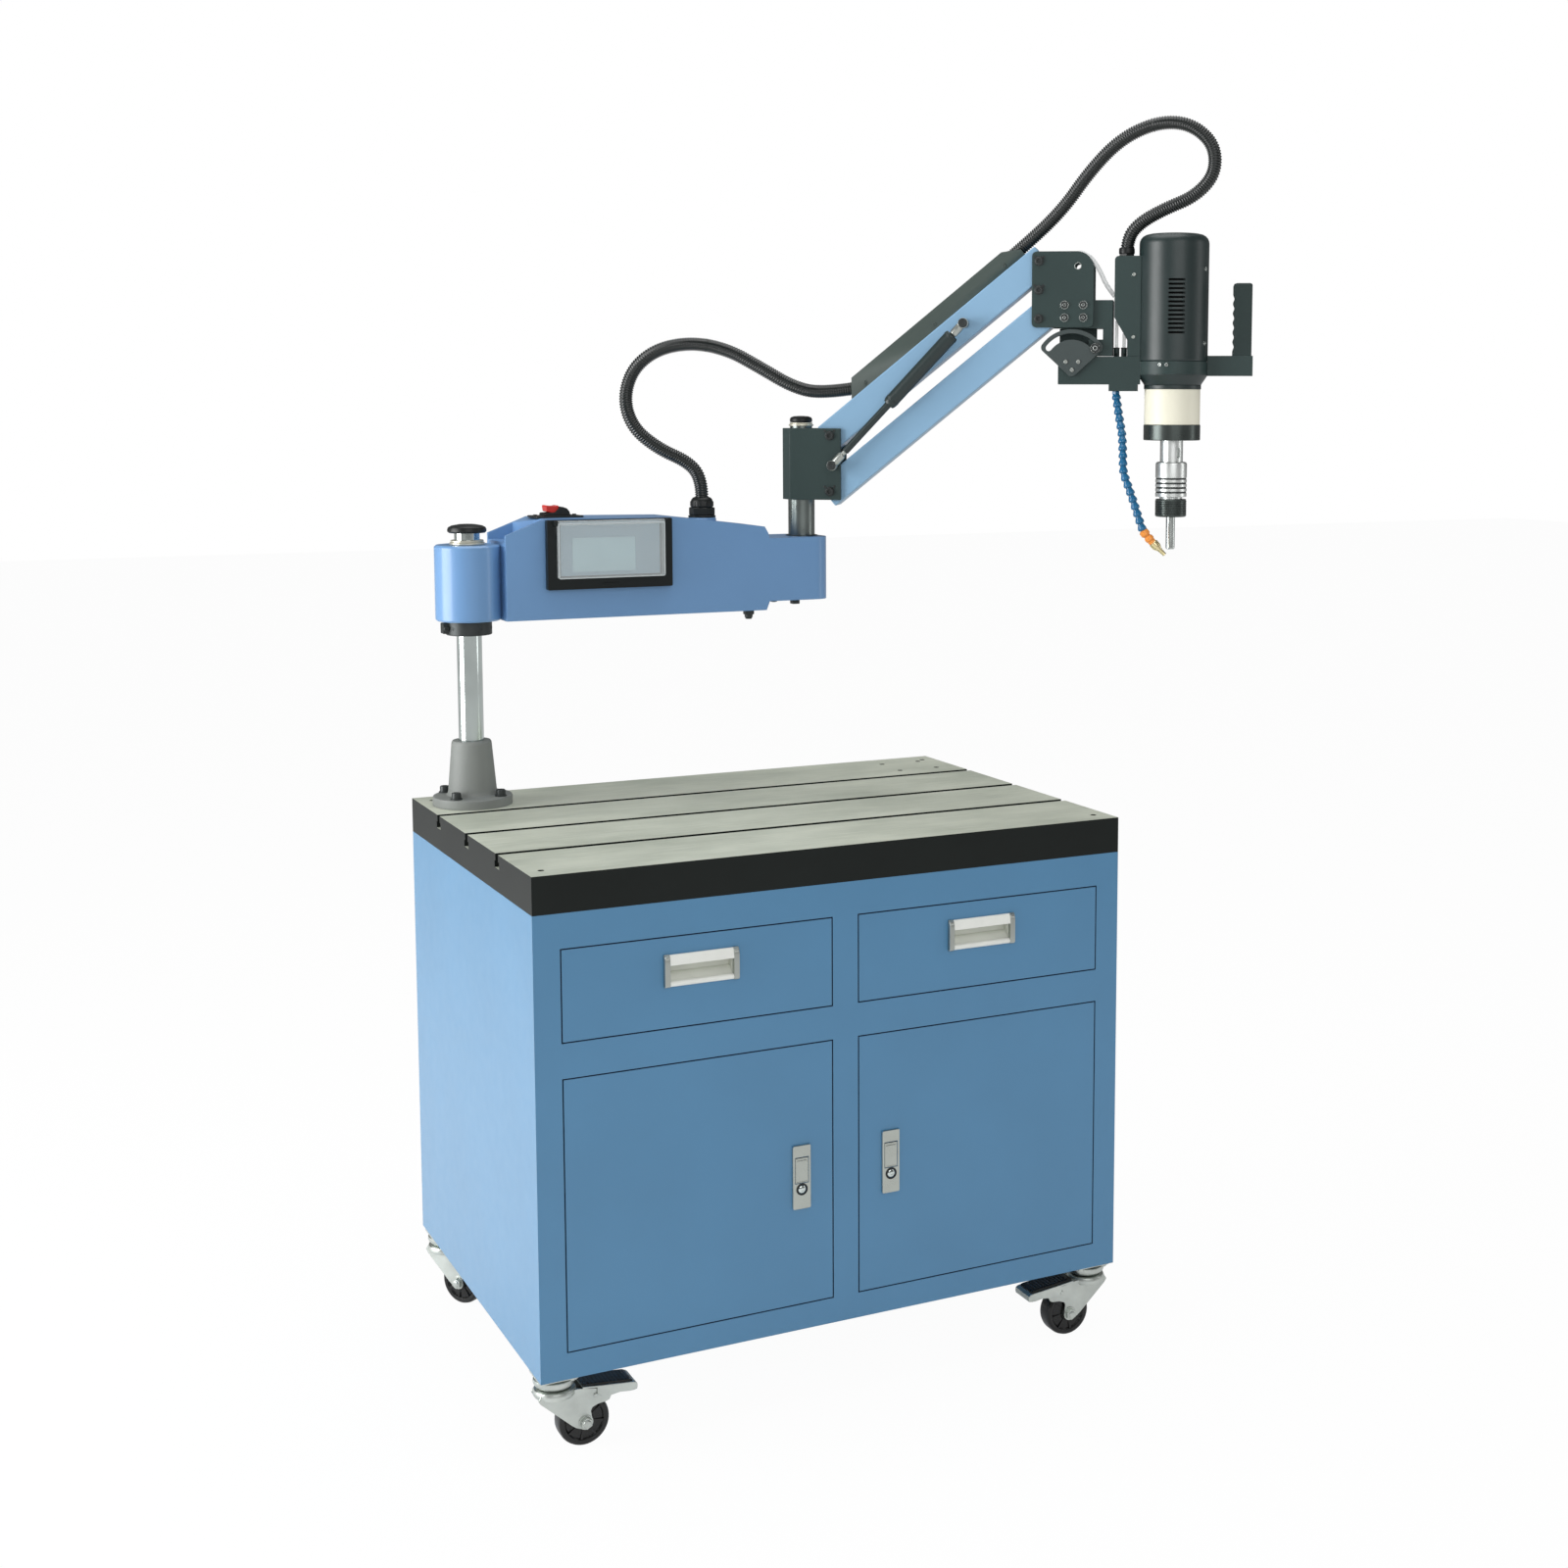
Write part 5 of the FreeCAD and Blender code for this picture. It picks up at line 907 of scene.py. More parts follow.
def gap_shade_strips():
    """Dark strips set back in the gaps round the doors and drawers: painted shade for the shadow in the gaps."""
    gap = 1.9
    strips = []
    for way in SIDES.values():
        for z0, z1, hinge_gap in ((164.8, 581.4, 1.2), (638.5, 777, 0.1)):
            for x0, x1, low, high in (
                (21.6, 23.4, z0 - gap, z1 + gap), (457 + hinge_gap, 458.9, z0 - gap, z1 + gap),
                (23.4, 456, z0 - gap, z0 - 0.1), (23.4, 456, z1 + 0.1, z1 + gap),
            ):
                strips.append(rounded(block(way * x0, way * x1, -349.4, -346, low, high), 0.25, 1))
    settle(join(*strips), "gap_shade_strips", floor, "base", "gap_painted_shade", "cabinet_paint")


def pulls():
    """The drawers' cup pulls: end bars with round ends, a sloping hood, a lip and the cup behind."""
    places = {word: shift(way * DRAWER_X, 0, PULL_Z) for word, way in SIDES.items()}

    def pull(shape, name, material, node=None):
        settle_each(shape, name, places, "drawer", material, "nickel", node)

    side = [(-350, -25), (-356, -25), (-358, -22), (-358, 14), (-356.5, 21), (-353.5, 25), (-350, 25)]
    ends = []
    for x in (-60, 51):
        ends += [rounded(sheet_of(side, x, x + 9, "YZ"), 0.9, 2), rod(x + 1, -355, 20, 3.4, 7, "X", 0.8)]
    pull(join(*ends), "pull_ends", "satin_aluminium")
    side = [
        (-350.4, 24.4), (-354, 24.4), (-356, 20), (-358, 10.5), (-357.4, 8.5), (-355.6, 9), (-352.4, 19),
        (-350.4, 20),
    ]
    pull(rounded(sheet_of(side, -51.2, 51.2, "YZ"), 0.5, 2), "pull_hood", "white_plastic")
    side = [
        (-350, -24.6), (-354.4, -24.4), (-357, -22.4), (-357.6, -19.6), (-356.4, -17), (-353.4, -15.6),
        (-350, -15.6),
    ]
    pull(rounded(sheet_of(side, -51.2, 51.2, "YZ"), 0.8, 2), "pull_lip", "white_plastic")
    cup = rounded(inset(block(-51.4, 51.4, -350.2, -335.6, -16.4, 16.4), -1, 1.4, -13), 1.2)
    side = [(-337.4, -15.2), (-350, -15.2), (-346, -9), (-341, -5.5), (-337.4, -5)]
    step = rounded(sheet_of(side, -50, 50, "YZ"), 0.6)
    pull(join(cup, step), "pull_cup", "cream_plastic", "drawer_pull")


def latches():
    """The doors' pop-out latches: face plate, flap, button and the dark ring round it."""
    places = {word: shift(x=way * LATCH_X) for word, way in SIDES.items()}
    face = bevel_edges(block(-15.1, 15.1, -354.2, -349.9, 320.3, 422.5), 2.2, 3, "Y")
    hole = peg(0, FRONT, KNOB_Z, [(7.2, -8), (7.2, 8)], "Y", 32)
    carve(face, block(-11.7, 11.7, -356, -340, 361.7, 403.8), hole)
    settle_each(rounded(face, 0.5, 2), "latch_face", places, "door", "nickel_plate", "nickel")
    flap = rounded(inset(block(-10.9, 10.9, -353.9, -351.1, 362.5, 402.3), -1, 1.6, -0.5), 0.35, 2)
    grip = rounded(block(-8, 8, -354.4, -353, 396, 398.4), 0.5, 2)
    settle_each(join(flap, grip), "latch_grip", places, "latch_flap", "nickel_plate", "nickel", "latch_flap")
    rings = [(6.7, -5), (6.8, 4.6), (6.2, 5.6), (4.6, 6.4), (2.4, 6.9), (2.2, 6.2), (0.6, 6.1)]
    button = peg(0, -349.2, KNOB_Z, rings, "-Y", 32)
    settle_each(button, "latch_knob", places, "latch_button", "chromed_steel", "nickel", "latch_button")
    ring = hoop(7.3, 9.6, 0, 1, 0, -354.1, KNOB_Z, "-Y", 0.3, 32)
    settle_each(ring, "latch_ring", places, "door", "black_plastic", "nickel")


# ---- casters

# Where each caster stands and how far it has turned from trailing to the right.
CASTERS = {
    "front_left": (-468, -312, 0), "front_right": (468, -312, 180),
    "rear_left": (-468, 312, -56), "rear_right": (468, 312, -150),
}
# Outlines of a fork's side plate: the part round the axle that both kinds share, then the rest.
FORK_NOSE = [
    (-31, 88), (-27, 82), (21, 38), (27, 33.5), (34, 30.5), (42, 29.5), (49, 32), (52.6, 38), (52.6, 44),
]
FORK_BRAKED = FORK_NOSE + [
    (50.6, 56), (53, 61), (62, 64.5), (76, 66), (80, 68), (83, 74), (82, 85), (70, 88.4), (30, 95), (-26, 95),
]
FORK_PLAIN = FORK_NOSE + [(49, 56), (34, 86), (28, 95), (-26, 95)]


def fork(outline):
    """Two pressed side plates under a rolled crown, with the axle's bolt and washers."""
    legs = [rounded(sheet_of(outline, y, y + 3), 0.9, 2) for y in (17, -20)]
    crown = turned([(27, 85), (30.5, 86.4), (32.4, 89.5), (32.4, 94), (30.6, 97.6), (26, 99.4), (20, 99.8)])
    axle = both_faces(rod, WHEEL_X, 20, WHEEL_Z, 11.4, 1.4, edge=0.3)
    axle += both_faces(hexagon, WHEEL_X, 21.4, WHEEL_Z, 9.4, 5.6)
    axle += both_faces(peg, WHEEL_X, 26.8, WHEEL_Z, [(6.4, -0.2), (5.6, 1.6), (3.4, 2.8)])
    return join(crown, *legs, *axle, rod(WHEEL_X, -17, WHEEL_Z, 4, 34, "Y", 0.2))


def caster_tops():
    plate = rounded(bevel_edges(block(-30.9, 30.9, -30.9, 30.9, 117, 121.9), 6, 4, "Z"), 0.6, 2)
    rings = [(17, 117), (27, 116.4), (31.4, 113.6), (32.2, 109.6), (30.6, 105), (27, 101.6), (20, 100.6)]
    heads = [hexagon(x, y, 117, 6, 4, "-Z") for x in (-22, 22) for y in (-22, 22)]
    twins = spread(join(plate, turned(rings), *heads), [shift(x, y) for x, y, _ in CASTERS.values()])
    for word, twin in zip(CASTERS, twins):
        nodes = ["caster_mounts"] if twin is twins[0] else []
        settle(twin, f"caster_top_{word}", floor, "base", "zinc_plate", "zinc", *nodes)


def brake_pedal(places):
    """The front casters' pedals: a pressed tread with side lips and a ribbed rubber pad."""
    side = [
        (37, 97.6), (60, 95), (100, 90.8), (113, 89.6), (120, 88.4), (123.4, 85.6), (124, 81), (123, 76.4),
        (121, 76.4), (121.4, 81), (120.4, 84.2), (117, 86), (60, 92), (37, 94.7),
    ]
    tread = rounded(sheet_of(side, -23.2, 23.2), 0.8, 2)
    side = [
        (60, 94.6), (60, 83), (67, 76), (80, 75.2), (96, 77.4), (112, 75.4), (120, 75.8), (123.6, 78.6),
        (123.8, 83), (120, 87.8),
    ]
    lips = [rounded(sheet_of(side, y, y + 2.9), 0.8, 2) for y in (-23.3, 20.4)]
    settle_each(join(tread, *lips), "brake_tread", places, "brake_pedal", "zinc_plate", "zinc", "brake_pedal")
    side = [(37.4, 96.6), (37.6, 99.9), (64, 97.6), (112, 92.8), (117, 91), (117, 88)]
    pad = [rounded(sheet_of(side, -19.5, 19.5), 0.9, 2)]
    for x in range(46, 110, 6):
        low = 96.8 - (x - 64) * 0.1
        pad.append(rounded(block(x, x + 2.6, -17, 17, low, low + 1.5), 0.5, 1))
    settle_each(join(*pad), "brake_pad", places, "brake_pedal", "wheel_rubber", "wheel_plastic")


def casters():
    places = {word: shift(x, y) @ spin(turn) for word, (x, y, turn) in CASTERS.items()}
    caster_tops()
    half = [(8, 16.4), (13, 16.4), (14.4, 13), (28.5, 11.4), (31, 14.2), (35.6, 14.9), (38.6, 13), (40, 8.6)]
    rings = [(radius, -width) for radius, width in half] + half[::-1] + [(8, -16.4)]
    wheel = [turned(rings, WHEEL_X, 0, WHEEL_Z, "Y", 64, closed=True)]
    for step in range(8):
        rib = block(14, 30, -14, 14, -1.6, 1.6)
        rib.data.transform(shift(WHEEL_X, 0, WHEEL_Z) @ spin(step * 45 + 10, "Y"))
        wheel.append(rib)
    settle_each(
        join(*wheel), "caster_tyre", places, "caster_wheel", "wheel_rubber", "wheel_plastic", "caster_wheel",
    )
    braked = fork(FORK_BRAKED)
    pins = [rod(72, -20, 81, 2.4, 40, "Y", 0.2)]
    for x, z in ((58, 80), (72, 81)):
        pins += both_faces(peg, x, 20, z, [(3.4, 0), (3.2, 1.6), (1.6, 2.4)], sides=16)
    for shape, end in ((join(braked, *pins), "front"), (fork(FORK_PLAIN), "rear")):
        pair = {word: place for word, place in places.items() if word.startswith(end)}
        settle_each(shape, "caster_yoke", pair, "caster_fork", "zinc_plate", "zinc", "caster_fork")
    brake_pedal({word: places[f"front_{word}"] for word in SIDES})


# ---- column

def column_parts():
    rings = [
        (66.6, 0), (67, 1), (67, 13), (66, 15.2), (63.5, 16), (47, 16.4), (43.6, 17.6), (41.6, 20.4),
        (40.6, 26), (33.8, 104), (33.2, 107.6), (31.4, 110), (21.2, 110), (21.1, 100),
    ]
    on_column(turned(rings, sides=72), "base_casting", "casting_paint", "base_cast", "column_base")
    bolts = []
    for x in (-38.2, 38.2):
        for y in (-38.2, 38.2):
            bolts += [hoop(5, 10, 0, 2, x, y, 16, edge=0.3, sides=24), cap_screw(x, y, 18, 8, 9.6)]
    on_column(join(*bolts), "base_screws", "black_steel", "dark_steel", "base_bolts")
    clamp = hoop(21.05, 38.5, 291, 314.7, edge=1.2, sides=72)
    carve(clamp, block(-50, -18, -1.4, 1.4, 285, 320))
    fittings = [rounded(block(-46.5, -33, y, y + 8, 294, 312), 1.5, 2) for y in (-9.4, 1.4)]
    fittings.append(cap_screw(-41.5, -9.4, 303, 4.6, 4.4, "-Y"))
    for angle in (-150, -75, -30, 20, 75, 130):
        dimple = turned([(3.2, 0), (3.2, 1.2), (1.8, 1.2), (1.7, 0.2)], sides=16)
        dimple.data.transform(spin(angle) @ shift(x=37.8, z=303) @ ALONG["X"])
        fittings.append(dimple)
    clamp = join(clamp, *fittings)
    on_column(clamp, "clamp_collar", "black_steel", "dark_steel", "column_collar")
    seat = join(hoop(21.1, 29.3, 443.4, 447, edge=0.6), hoop(21.1, 27.6, 447.2, 451, edge=0.8))
    on_column(seat, "thrust_washers", "cream_metal", "chrome", "column_cap")
    rings = [
        (14, 458), (20, 462.8), (30, 463.2), (32.4, 465.4), (32.5, 469), (31, 472.4), (26, 475.2),
        (14, 477.4), (4, 478),
    ]
    on_column(turned(rings), "column_knob", "black_plastic", "black_plastic")


# ---- first arm

# The first arm's side view, in its own axes.
ARM_OUTLINE = [
    (50, 0), (523, 0), (529, 15.5), (650, 15.5), (650, 128), (529, 128), (527, 137), (520, 149), (436, 159.5),
    (354, 169), (200, 171), (118.9, 171), (50, 144.3),
]


def arm_casting():
    body = sheet_of(ARM_OUTLINE, -56, 56)
    bevel_edges(body, 30, 7, "Z", lambda middle: middle.x > 640)
    carve(body, sheet_of([(40, -49), (119, -49), (93, 49), (40, 49)], 133, 190, "XY"))
    rounded(body, 5, 4, 40)
    boss = turned([(52, 0), (55, 3), (55, 125), (52, 128), (30, 128)], sides=96)
    pad = turned([(25, 152), (25, 163), (23.6, 164.9)], GLAND_X)
    carve(body, boss, pad, operation="UNION")
    on_arm(body, "arm_casting", "arm_paint", "arm_paint", "control_arm")
    collar = join(hoop(21.2, 26, 127.4, 128.2, edge=0.2), hoop(24.2, 29, 128, 129.4, POST_X))
    on_arm(collar, "bore_rings", "black_steel", "dark_steel")


def panel():
    case = carve(block(118.5, 341.5, -68, -55.5, 51, 169), block(141, 319, -70, -66, 74, 166))
    rounded(bevel_edges(case, 2, 3, "Y"), 0.7, 2)
    ears = [rounded(block(x, x + 6, -77, -67, 160, 168), 1.2, 2) for x in (128.7, 325.3)]
    tab = rounded(block(215, 245, -69.2, -67.4, 55, 61), 0.6, 2)
    case = join(case, *ears, tab)
    on_arm(case, "panel_frame", "panel_plastic", "panel_plastic", "screen_panel")
    bezel = carve(block(141.2, 318.8, -67.2, -65.9, 74.2, 165.8), block(162, 275, -70, -66.3, 80, 139))
    on_arm(rounded(bezel, 0.3, 2), "panel_bezel", "bezel_plastic", "panel_plastic")
    glass = rounded(block(162.4, 274.6, -66.8, -66, 80.4, 138.6), 0.25, 2)
    on_arm(glass, "screen_glass", "screen_glass", "panel_plastic")


def clear_lid():
    lid = block(135, 325, -77.3, -68.5, 70, 164)
    bevel_edges(lid, 3.5, 4, "Y", lambda middle: middle.z < 80)
    inset(lid, 1, 2, -6.8)
    lid = join(lid, rod(135, -72.8, 164, 4.4, 190, "X", 0.6))
    settle(lid, "screen_lid", arm, "screen_cover", "clear_cover", "clear_cover", "screen_cover")
    rim = bevel_edges(block(134.8, 325.2, -77.6, -76.4, 69.8, 164), 3.5, 4, "Y")
    carve(rim, block(136.6, 323.4, -80, -70, 71.6, 162.4))
    settle(rounded(rim, 0.4, 2), "screen_lid_rim", arm, "screen_cover", "clear_rim", "clear_cover")


def power_switch():
    base = rounded(bevel_edges(block(112, 197, -28, 28, 171, 174), 5, 4, "Z"), 0.8, 2)
    side = [
        (131, 173.6), (131, 177.4), (159.4, 177.8), (159.4, 189), (163, 189), (170, 186.4), (174.6, 181),
        (176.4, 173.6),
    ]
    guard = rounded(sheet_of(side, -17, 17), 1, 2)
    side = [(131, 176.6), (131.6, 178.6), (149, 180), (157, 188.6), (160.4, 188.6), (160.4, 176.6)]
    cheeks = [rounded(sheet_of(side, y, y + 3.4), 0.8, 2) for y in (-17, 13.6)]
    screws = [cap_screw(x, 0, 174, 3.4, 2.2) for x in (118.5, 188)]
    box = join(base, guard, *cheeks, *screws)
    on_arm(box, "switch_box", "black_plastic", "black_plastic", "switch_housing")
    side = [
        (135.6, 181.4), (134.4, 190), (135.6, 192), (143, 190.6), (150, 190.2), (156.2, 191.6),
        (156.8, 189.6), (156, 182), (146.5, 178.8),
    ]
    key = rounded(sheet_of(side, -12.6, 12.6), 0.9)
    settle(key, "switch_key", arm, "switch_rocker", "red_plastic", "red_plastic", "switch_rocker")


def gland():
    plate = rounded(peg(GLAND_X, 0, 0, [(24, 164.9), (24.6, 167.6), (23.4, 168.6)]), 0.3, 1)
    base = hexagon(GLAND_X, 0, 168.4, 23, 14.6)
    rings = [(18.6, 183), (20, 184.6), (20, 192), (18.6, 196.6), (15.8, 199.8), (13, 201), (11, 199)]
    nut = [peg(GLAND_X, 0, 0, rings)]
    for step in range(12):
        rib = rounded(block(17.6, 20.8, -1.5, 1.5, 184.4, 193.4), 0.6, 1)
        rib.data.transform(shift(GLAND_X) @ spin(step * 30))
        nut.append(rib)
    nut = join(plate, base, *nut)
    on_arm(nut, "hose_gland", "black_plastic", "black_plastic", "cable_gland")


def arm_underside():
    foot = peg(560, 0, 0, [(3, 8.4), (6, 9.2), (8, 11.6), (8, 15.6)])
    square = rounded(block(595, 609, -7, 7, 3.6, 15.6), 1.2, 2)
    nut = hexagon(511, 0, 0.1, 10, 12, "-Z")
    plug = peg(511, 0, 0.1, [(7.4, 11), (7.4, 16), (6, 18.6), (5.6, 20)], "-Z")
    fittings = join(foot, square, nut, plug)
    on_arm(fittings, "arm_fittings", "black_steel", "dark_steel", "arm_fasteners")


# ---- second arm

def pivot(x, z, washer, thick, cap):
    """A pin through both plates with a washer and a screw head on each outer face."""
    pin = [rod(x, -PLATE_HALF, z, 6, 2 * PLATE_HALF, "Y", 0.2)]
    for face, axis in ((-PLATE_HALF, "-Y"), (PLATE_HALF, "Y")):
        pin.append(hoop(3, washer, 0, thick, x, face, z, axis, 0.2, 32))
    return pin + both_faces(cap_screw, x, PLATE_HALF + thick, z, cap, 4)


def spring_stud(x, half, z):
    """A stud of the gas spring on a front face: spacer, pin and cap."""
    cap = [(7.6, 0), (8.2, 0.8), (8.2, 2.4), (7, 3), (3.4, 3), (3.2, 1.6)]
    return [
        hoop(3.9, 8, 0, 40.7 - half, x, -half, z, "-Y", 0.5, 32), rod(x, -58, z, 4, 59 - half, "Y", 0.6),
        peg(x, -55.2, z, cap, "-Y"),
    ]


def bracket():
    outline = [(-33, -6), (-15, -33), (78, -33), (78, 33), (-15, 33), (-33, 6)]
    body = carve(sheet_of(outline, 194, 322, "XY"), block(29, 80, -PLATE_IN, PLATE_IN, 190, 330))
    body = rounded(body, 1)
    settle(body, "bracket_block", second, "bracket", "slate_paint", "grey_green_paint", "swivel_bracket")
    bolts = spring_stud(SPRING_X, PLATE_HALF, SPRING_Z)
    for z in (PIVOT_HIGH, PIVOT_LOW):
        bolts += pivot(PIVOT_X, z, 8.6, 1, 7.4)
        for x, up in ((49.6, 8.4), (66.2, 8.8)):
            bolts += both_faces(cap_screw, x, PLATE_HALF, z + up, 2.4, 0.8)
    settle(join(*bolts), "bracket_bolts", second, "bracket", "black_steel", "dark_steel", "bracket_pins")
    washers = join(hoop(10, 22.3, 326, 329, edge=0.5), hoop(8, 20.6, 329.2, 332, edge=0.8))
    settle(washers, "post_washers", post, "first_arm", "cream_metal", "bright_steel", "bracket_cap")
    rings = [(15, 332), (19.4, 332.6), (20.3, 335), (20.1, 338.6), (18.4, 341.4), (13, 343.4), (4, 344)]
    settle(turned(rings), "post_knob", post, "first_arm", "black_plastic", "black_plastic")


def links():
    bar = rounded(block(-10, 493, -25, 25, -26, 26), 2.6)
    settle(copy(bar), "lower_tube", low_link, "lower_link", "link_paint", "arm_paint", "lower_link")
    on_link(bar, "upper_tube", "link_paint", "arm_paint", "upper_link")
    stud = join(*spring_stud(SPRING_REACH, 25, 0))
    on_link(stud, "spring_stud", "black_steel", "dark_steel")
    cover = sheet_of([(70.5, 26), (471, 26), (471, 38), (441, 56), (94.5, 56)], -20, 20)
    carve(cover, block(430, 480, -18, 18, 28, 54), block(441, 480, -18, 18, 28, 60))
    grommet = hoop(9.8, 14, -0.6, 2.4, edge=0.8, sides=32)
    fittings = [aimed(grommet, (82.5, 0, 41), Vector((-30, 0, 24)).normalized())]
    for x in (110, 270, 430):
        fittings += both_faces(cap_screw, x, 20, 34, 3.2, 1.2)
    cover = join(rounded(cover, 1.4), *fittings)
    on_link(cover, "hose_channel", "cover_paint", "motor_black", "hose_cover")


def gas_spring():
    run, rise = polar(SPRING_REACH, LINK_PITCH)
    high_x, high_z = PIVOT_X + run, PIVOT_HIGH + rise
    slope = math.degrees(math.atan2(high_z - SPRING_Z, high_x - SPRING_X))
    lower = second @ shift(SPRING_X, SPRING_Y, SPRING_Z) @ spin(-slope, "Y")
    upper = second @ shift(high_x, SPRING_Y, high_z) @ spin(180 - slope, "Y")
    eye = rounded(turned([(8.6, -7), (9, -6.4), (9, 6.4), (8.6, 7)], axis="Y", sides=32), 0.3, 1)
    neck = peg(0, 0, 0, [(5.6, 6), (7.6, 9), (7.6, 24), (6.4, 27), (4.4, 28), (4.4, 38)], "X")
    socket = join(eye, neck)
    settle(copy(socket), "spring_socket_high", upper, "spring_tube", "satin_aluminium", "black_plastic")
    settle(socket, "spring_socket_low", lower, "spring_rod", "satin_aluminium", "black_plastic")
    shaft = peg(0, 0, 0, [(5, 34), (6.3, 35), (6.5, 37), (6.5, 250)], "X", 32)
    settle(shaft, "spring_shaft", lower, "spring_rod", "motor_paint", "black_plastic", "spring_rod")
    rings = [(6, 28), (11.2, 28.6), (12.4, 31), (12.4, 188), (11.6, 192), (10.4, 195), (8, 195), (7.4, 192)]
    bands = [hoop(12, 13, -1, 1, x, 0, 0, "X", 0.3, 40) for x in (34, 184)]
    barrel = join(peg(0, 0, 0, rings, "X", 40), *bands)
    settle(barrel, "spring_barrel", upper, "spring_tube", "motor_paint", "black_plastic", "spring_tube")


# ---- head

def head_parts():
    outline = [
        *arc(-4.3, -107, 8, 180, 270, 4), *arc(88.2, -107, 8, 270, 360, 4), *arc(66.2, -13, 30, 0, 90),
        *arc(-4.3, 9, 8, 90, 180, 4),
    ]
    cheeks = []
    for y in (-33, 25.3):
        cheek = sheet_of(outline, y, y + 7.7)
        carve(cheek, peg(68.4, y, -8.6, [(6, -3), (6, 12)], "Y", 32))
        cheeks.append(rounded(cheek, 0.8, 2, 50))
    on_head(join(*cheeks), "head_cheeks", "slate_paint", "grey_green_paint", "head_plates")
    bolts = []
    for z in (0, -50, -100):
        bolts += pivot(0, z, 8.4, 0.8, 7.2)
        if z > -90:
            for x in (-7.4, 7.8):
                bolts += both_faces(cap_screw, x, PLATE_HALF, z + 7.6, 2.2, 0.8)
    # Bright steel rings on the front plate: one at the edge of the hole; on the four socket screws, a ring round each
    # head and a hex ring in each socket, painted highlights.
    rims = [hoop(5.2, 6.4, -0.2, 0.5, 68.4, -33, -8.6, "-Y", 0.2, 32)]
    for x in (45.3, 78.2):
        for z in (-76, -98):
            rims.append(hoop(3, 7.4, 0, 0.6, x, -33, z, "-Y", 0.2, 24))
            rims.append(hoop(2, 3.3, 0, 3.8, x, -33.6, z, "-Y", 0.1, 6))
            bolts += [cap_screw(x, -33.6, z, 6.2, 3.6, "-Y"), hexagon(x, 33, z, 5.6, 3, "Y")]
    bolts.append(rod(TILT_X, -24.7, TILT_Z, 8, 50, "Y", 0.3))
    bolts.append(hexagon(TILT_X, 25.3, TILT_Z, 14, 8, "Y"))
    on_head(join(*bolts), "head_bolts", "black_steel", "dark_steel", "head_pins")
    across, up = polar(LOCK_RADIUS, 37.3)
    x, z = TILT_X + across, TILT_Z + up
    lock = join(hoop(4, 9.4, 0, 1.8, x, -31.6, z, "-Y", 0.3, 32), cap_screw(x, -33.4, z, 8, 7, "-Y"))
    on_head(lock, "lock_bolt", "black_steel", "dark_steel")
    # Painted highlights on the lock bolt: a thin bright sleeve round its head and a hex ring in its socket.
    rims.append(hoop(7.9, 8.2, -0.2, 6.2, x, -33.4, z, "-Y", 0.1, 32))
    rims.append(hoop(3, 4.6, 5, 7.1, x, -33.4, z, "-Y", 0.2, 6))
    on_head(join(*rims), "head_rims", "ground_steel", "bright_steel")


def quadrant_parts():
    """The slotted quadrant: a fan on a small round foot, with its arc slot and three screws."""
    side, top = polar(56, 36)
    outline = [
        *arc(0, 0, 65, 36, 144, 24), *arc(-side, top, 9, 144, 227.5), *arc(0, -8.5, 9, 227.5, 312.5),
        *arc(side, top, 9, -47.5, 36),
    ]
    slot = [
        *arc(0, 0, 57.5, 36, 142, 24), *arc(*polar(LOCK_RADIUS, 142), 5.5, 142, 322, 6),
        *arc(0, 0, 46.5, 142, 36, 24), *arc(*polar(LOCK_RADIUS, 36), 5.5, -144, 36, 6),
    ]
    plate = rounded(carve(sheet_of(outline, -31.3, -25.4), sheet_of(slot, -40, -20)), 0.8, 2, 40)
    on_tilt(plate, "quadrant_plate", "quadrant_paint", "grey_green_paint", "quadrant")
    screws = [cap_screw(x, -31.3, z, 3.6, 2.2, "-Y") for x, z in ((-10.5, 8), (11.5, 8), (0.5, -6.3))]
    on_tilt(join(*screws), "quadrant_screws", "satin_aluminium", "bright_steel")


def push_fittings():
    bodies = []
    lines = []
    rings = [(4, 6.4), (4.6, 7), (4.6, 13), (4, 13.6), (5.4, 14), (5.4, 15.6), (3, 16)]
    for x, top in ((77.5, 80), (90.5, 58)):
        bodies += [hexagon(x, -6, 17.2, 5.6, 6.5), peg(x, -6, 17.2, rings)]
        lines.append(rod(x, -6, 30, 2.9, top - 30, "Z", 0.2, 20))
    on_tilt(join(*bodies), "push_fittings", "black_plastic", "black_plastic")
    on_tilt(join(*lines), "air_lines", "clear_tube", "clear_tube")


def valve_box():
    outline = [(73.5, 191.8), (73.5, 85.3), (96.5, 46), (96.5, 17.2), (122, 17.2), (122, 191.8)]
    shell = sheet_of(outline, -24, 24)
    bevel_edges(shell, 7, 5, "Y", lambda middle: middle.x < 80 and middle.z > 180)
    carve(shell, turned([(61.2, 0), (61.2, 260)], MOTOR_X, 0, -10, sides=96))
    rounded(shell, 1.6, 3, 50)
    on_tilt(shell, "valve_box", "slate_paint", "grey_green_paint", "junction_box")
    rings = [(13.4, 196.6), (14, 198), (13.8, 205), (12.8, 207), (11, 206)]
    nut = join(hexagon(93.2, 0, 191.7, 14.5, 5), peg(93.2, 0, 0, rings))
    on_tilt(nut, "box_gland", "black_plastic", "black_plastic")
    screws = []
    for z in (159.5, 51.3):
        screws += both_faces(cap_screw, 107.2, 24, z, 3, 1.6)
    on_tilt(join(*screws), "box_screws", "satin_aluminium", "bright_steel")


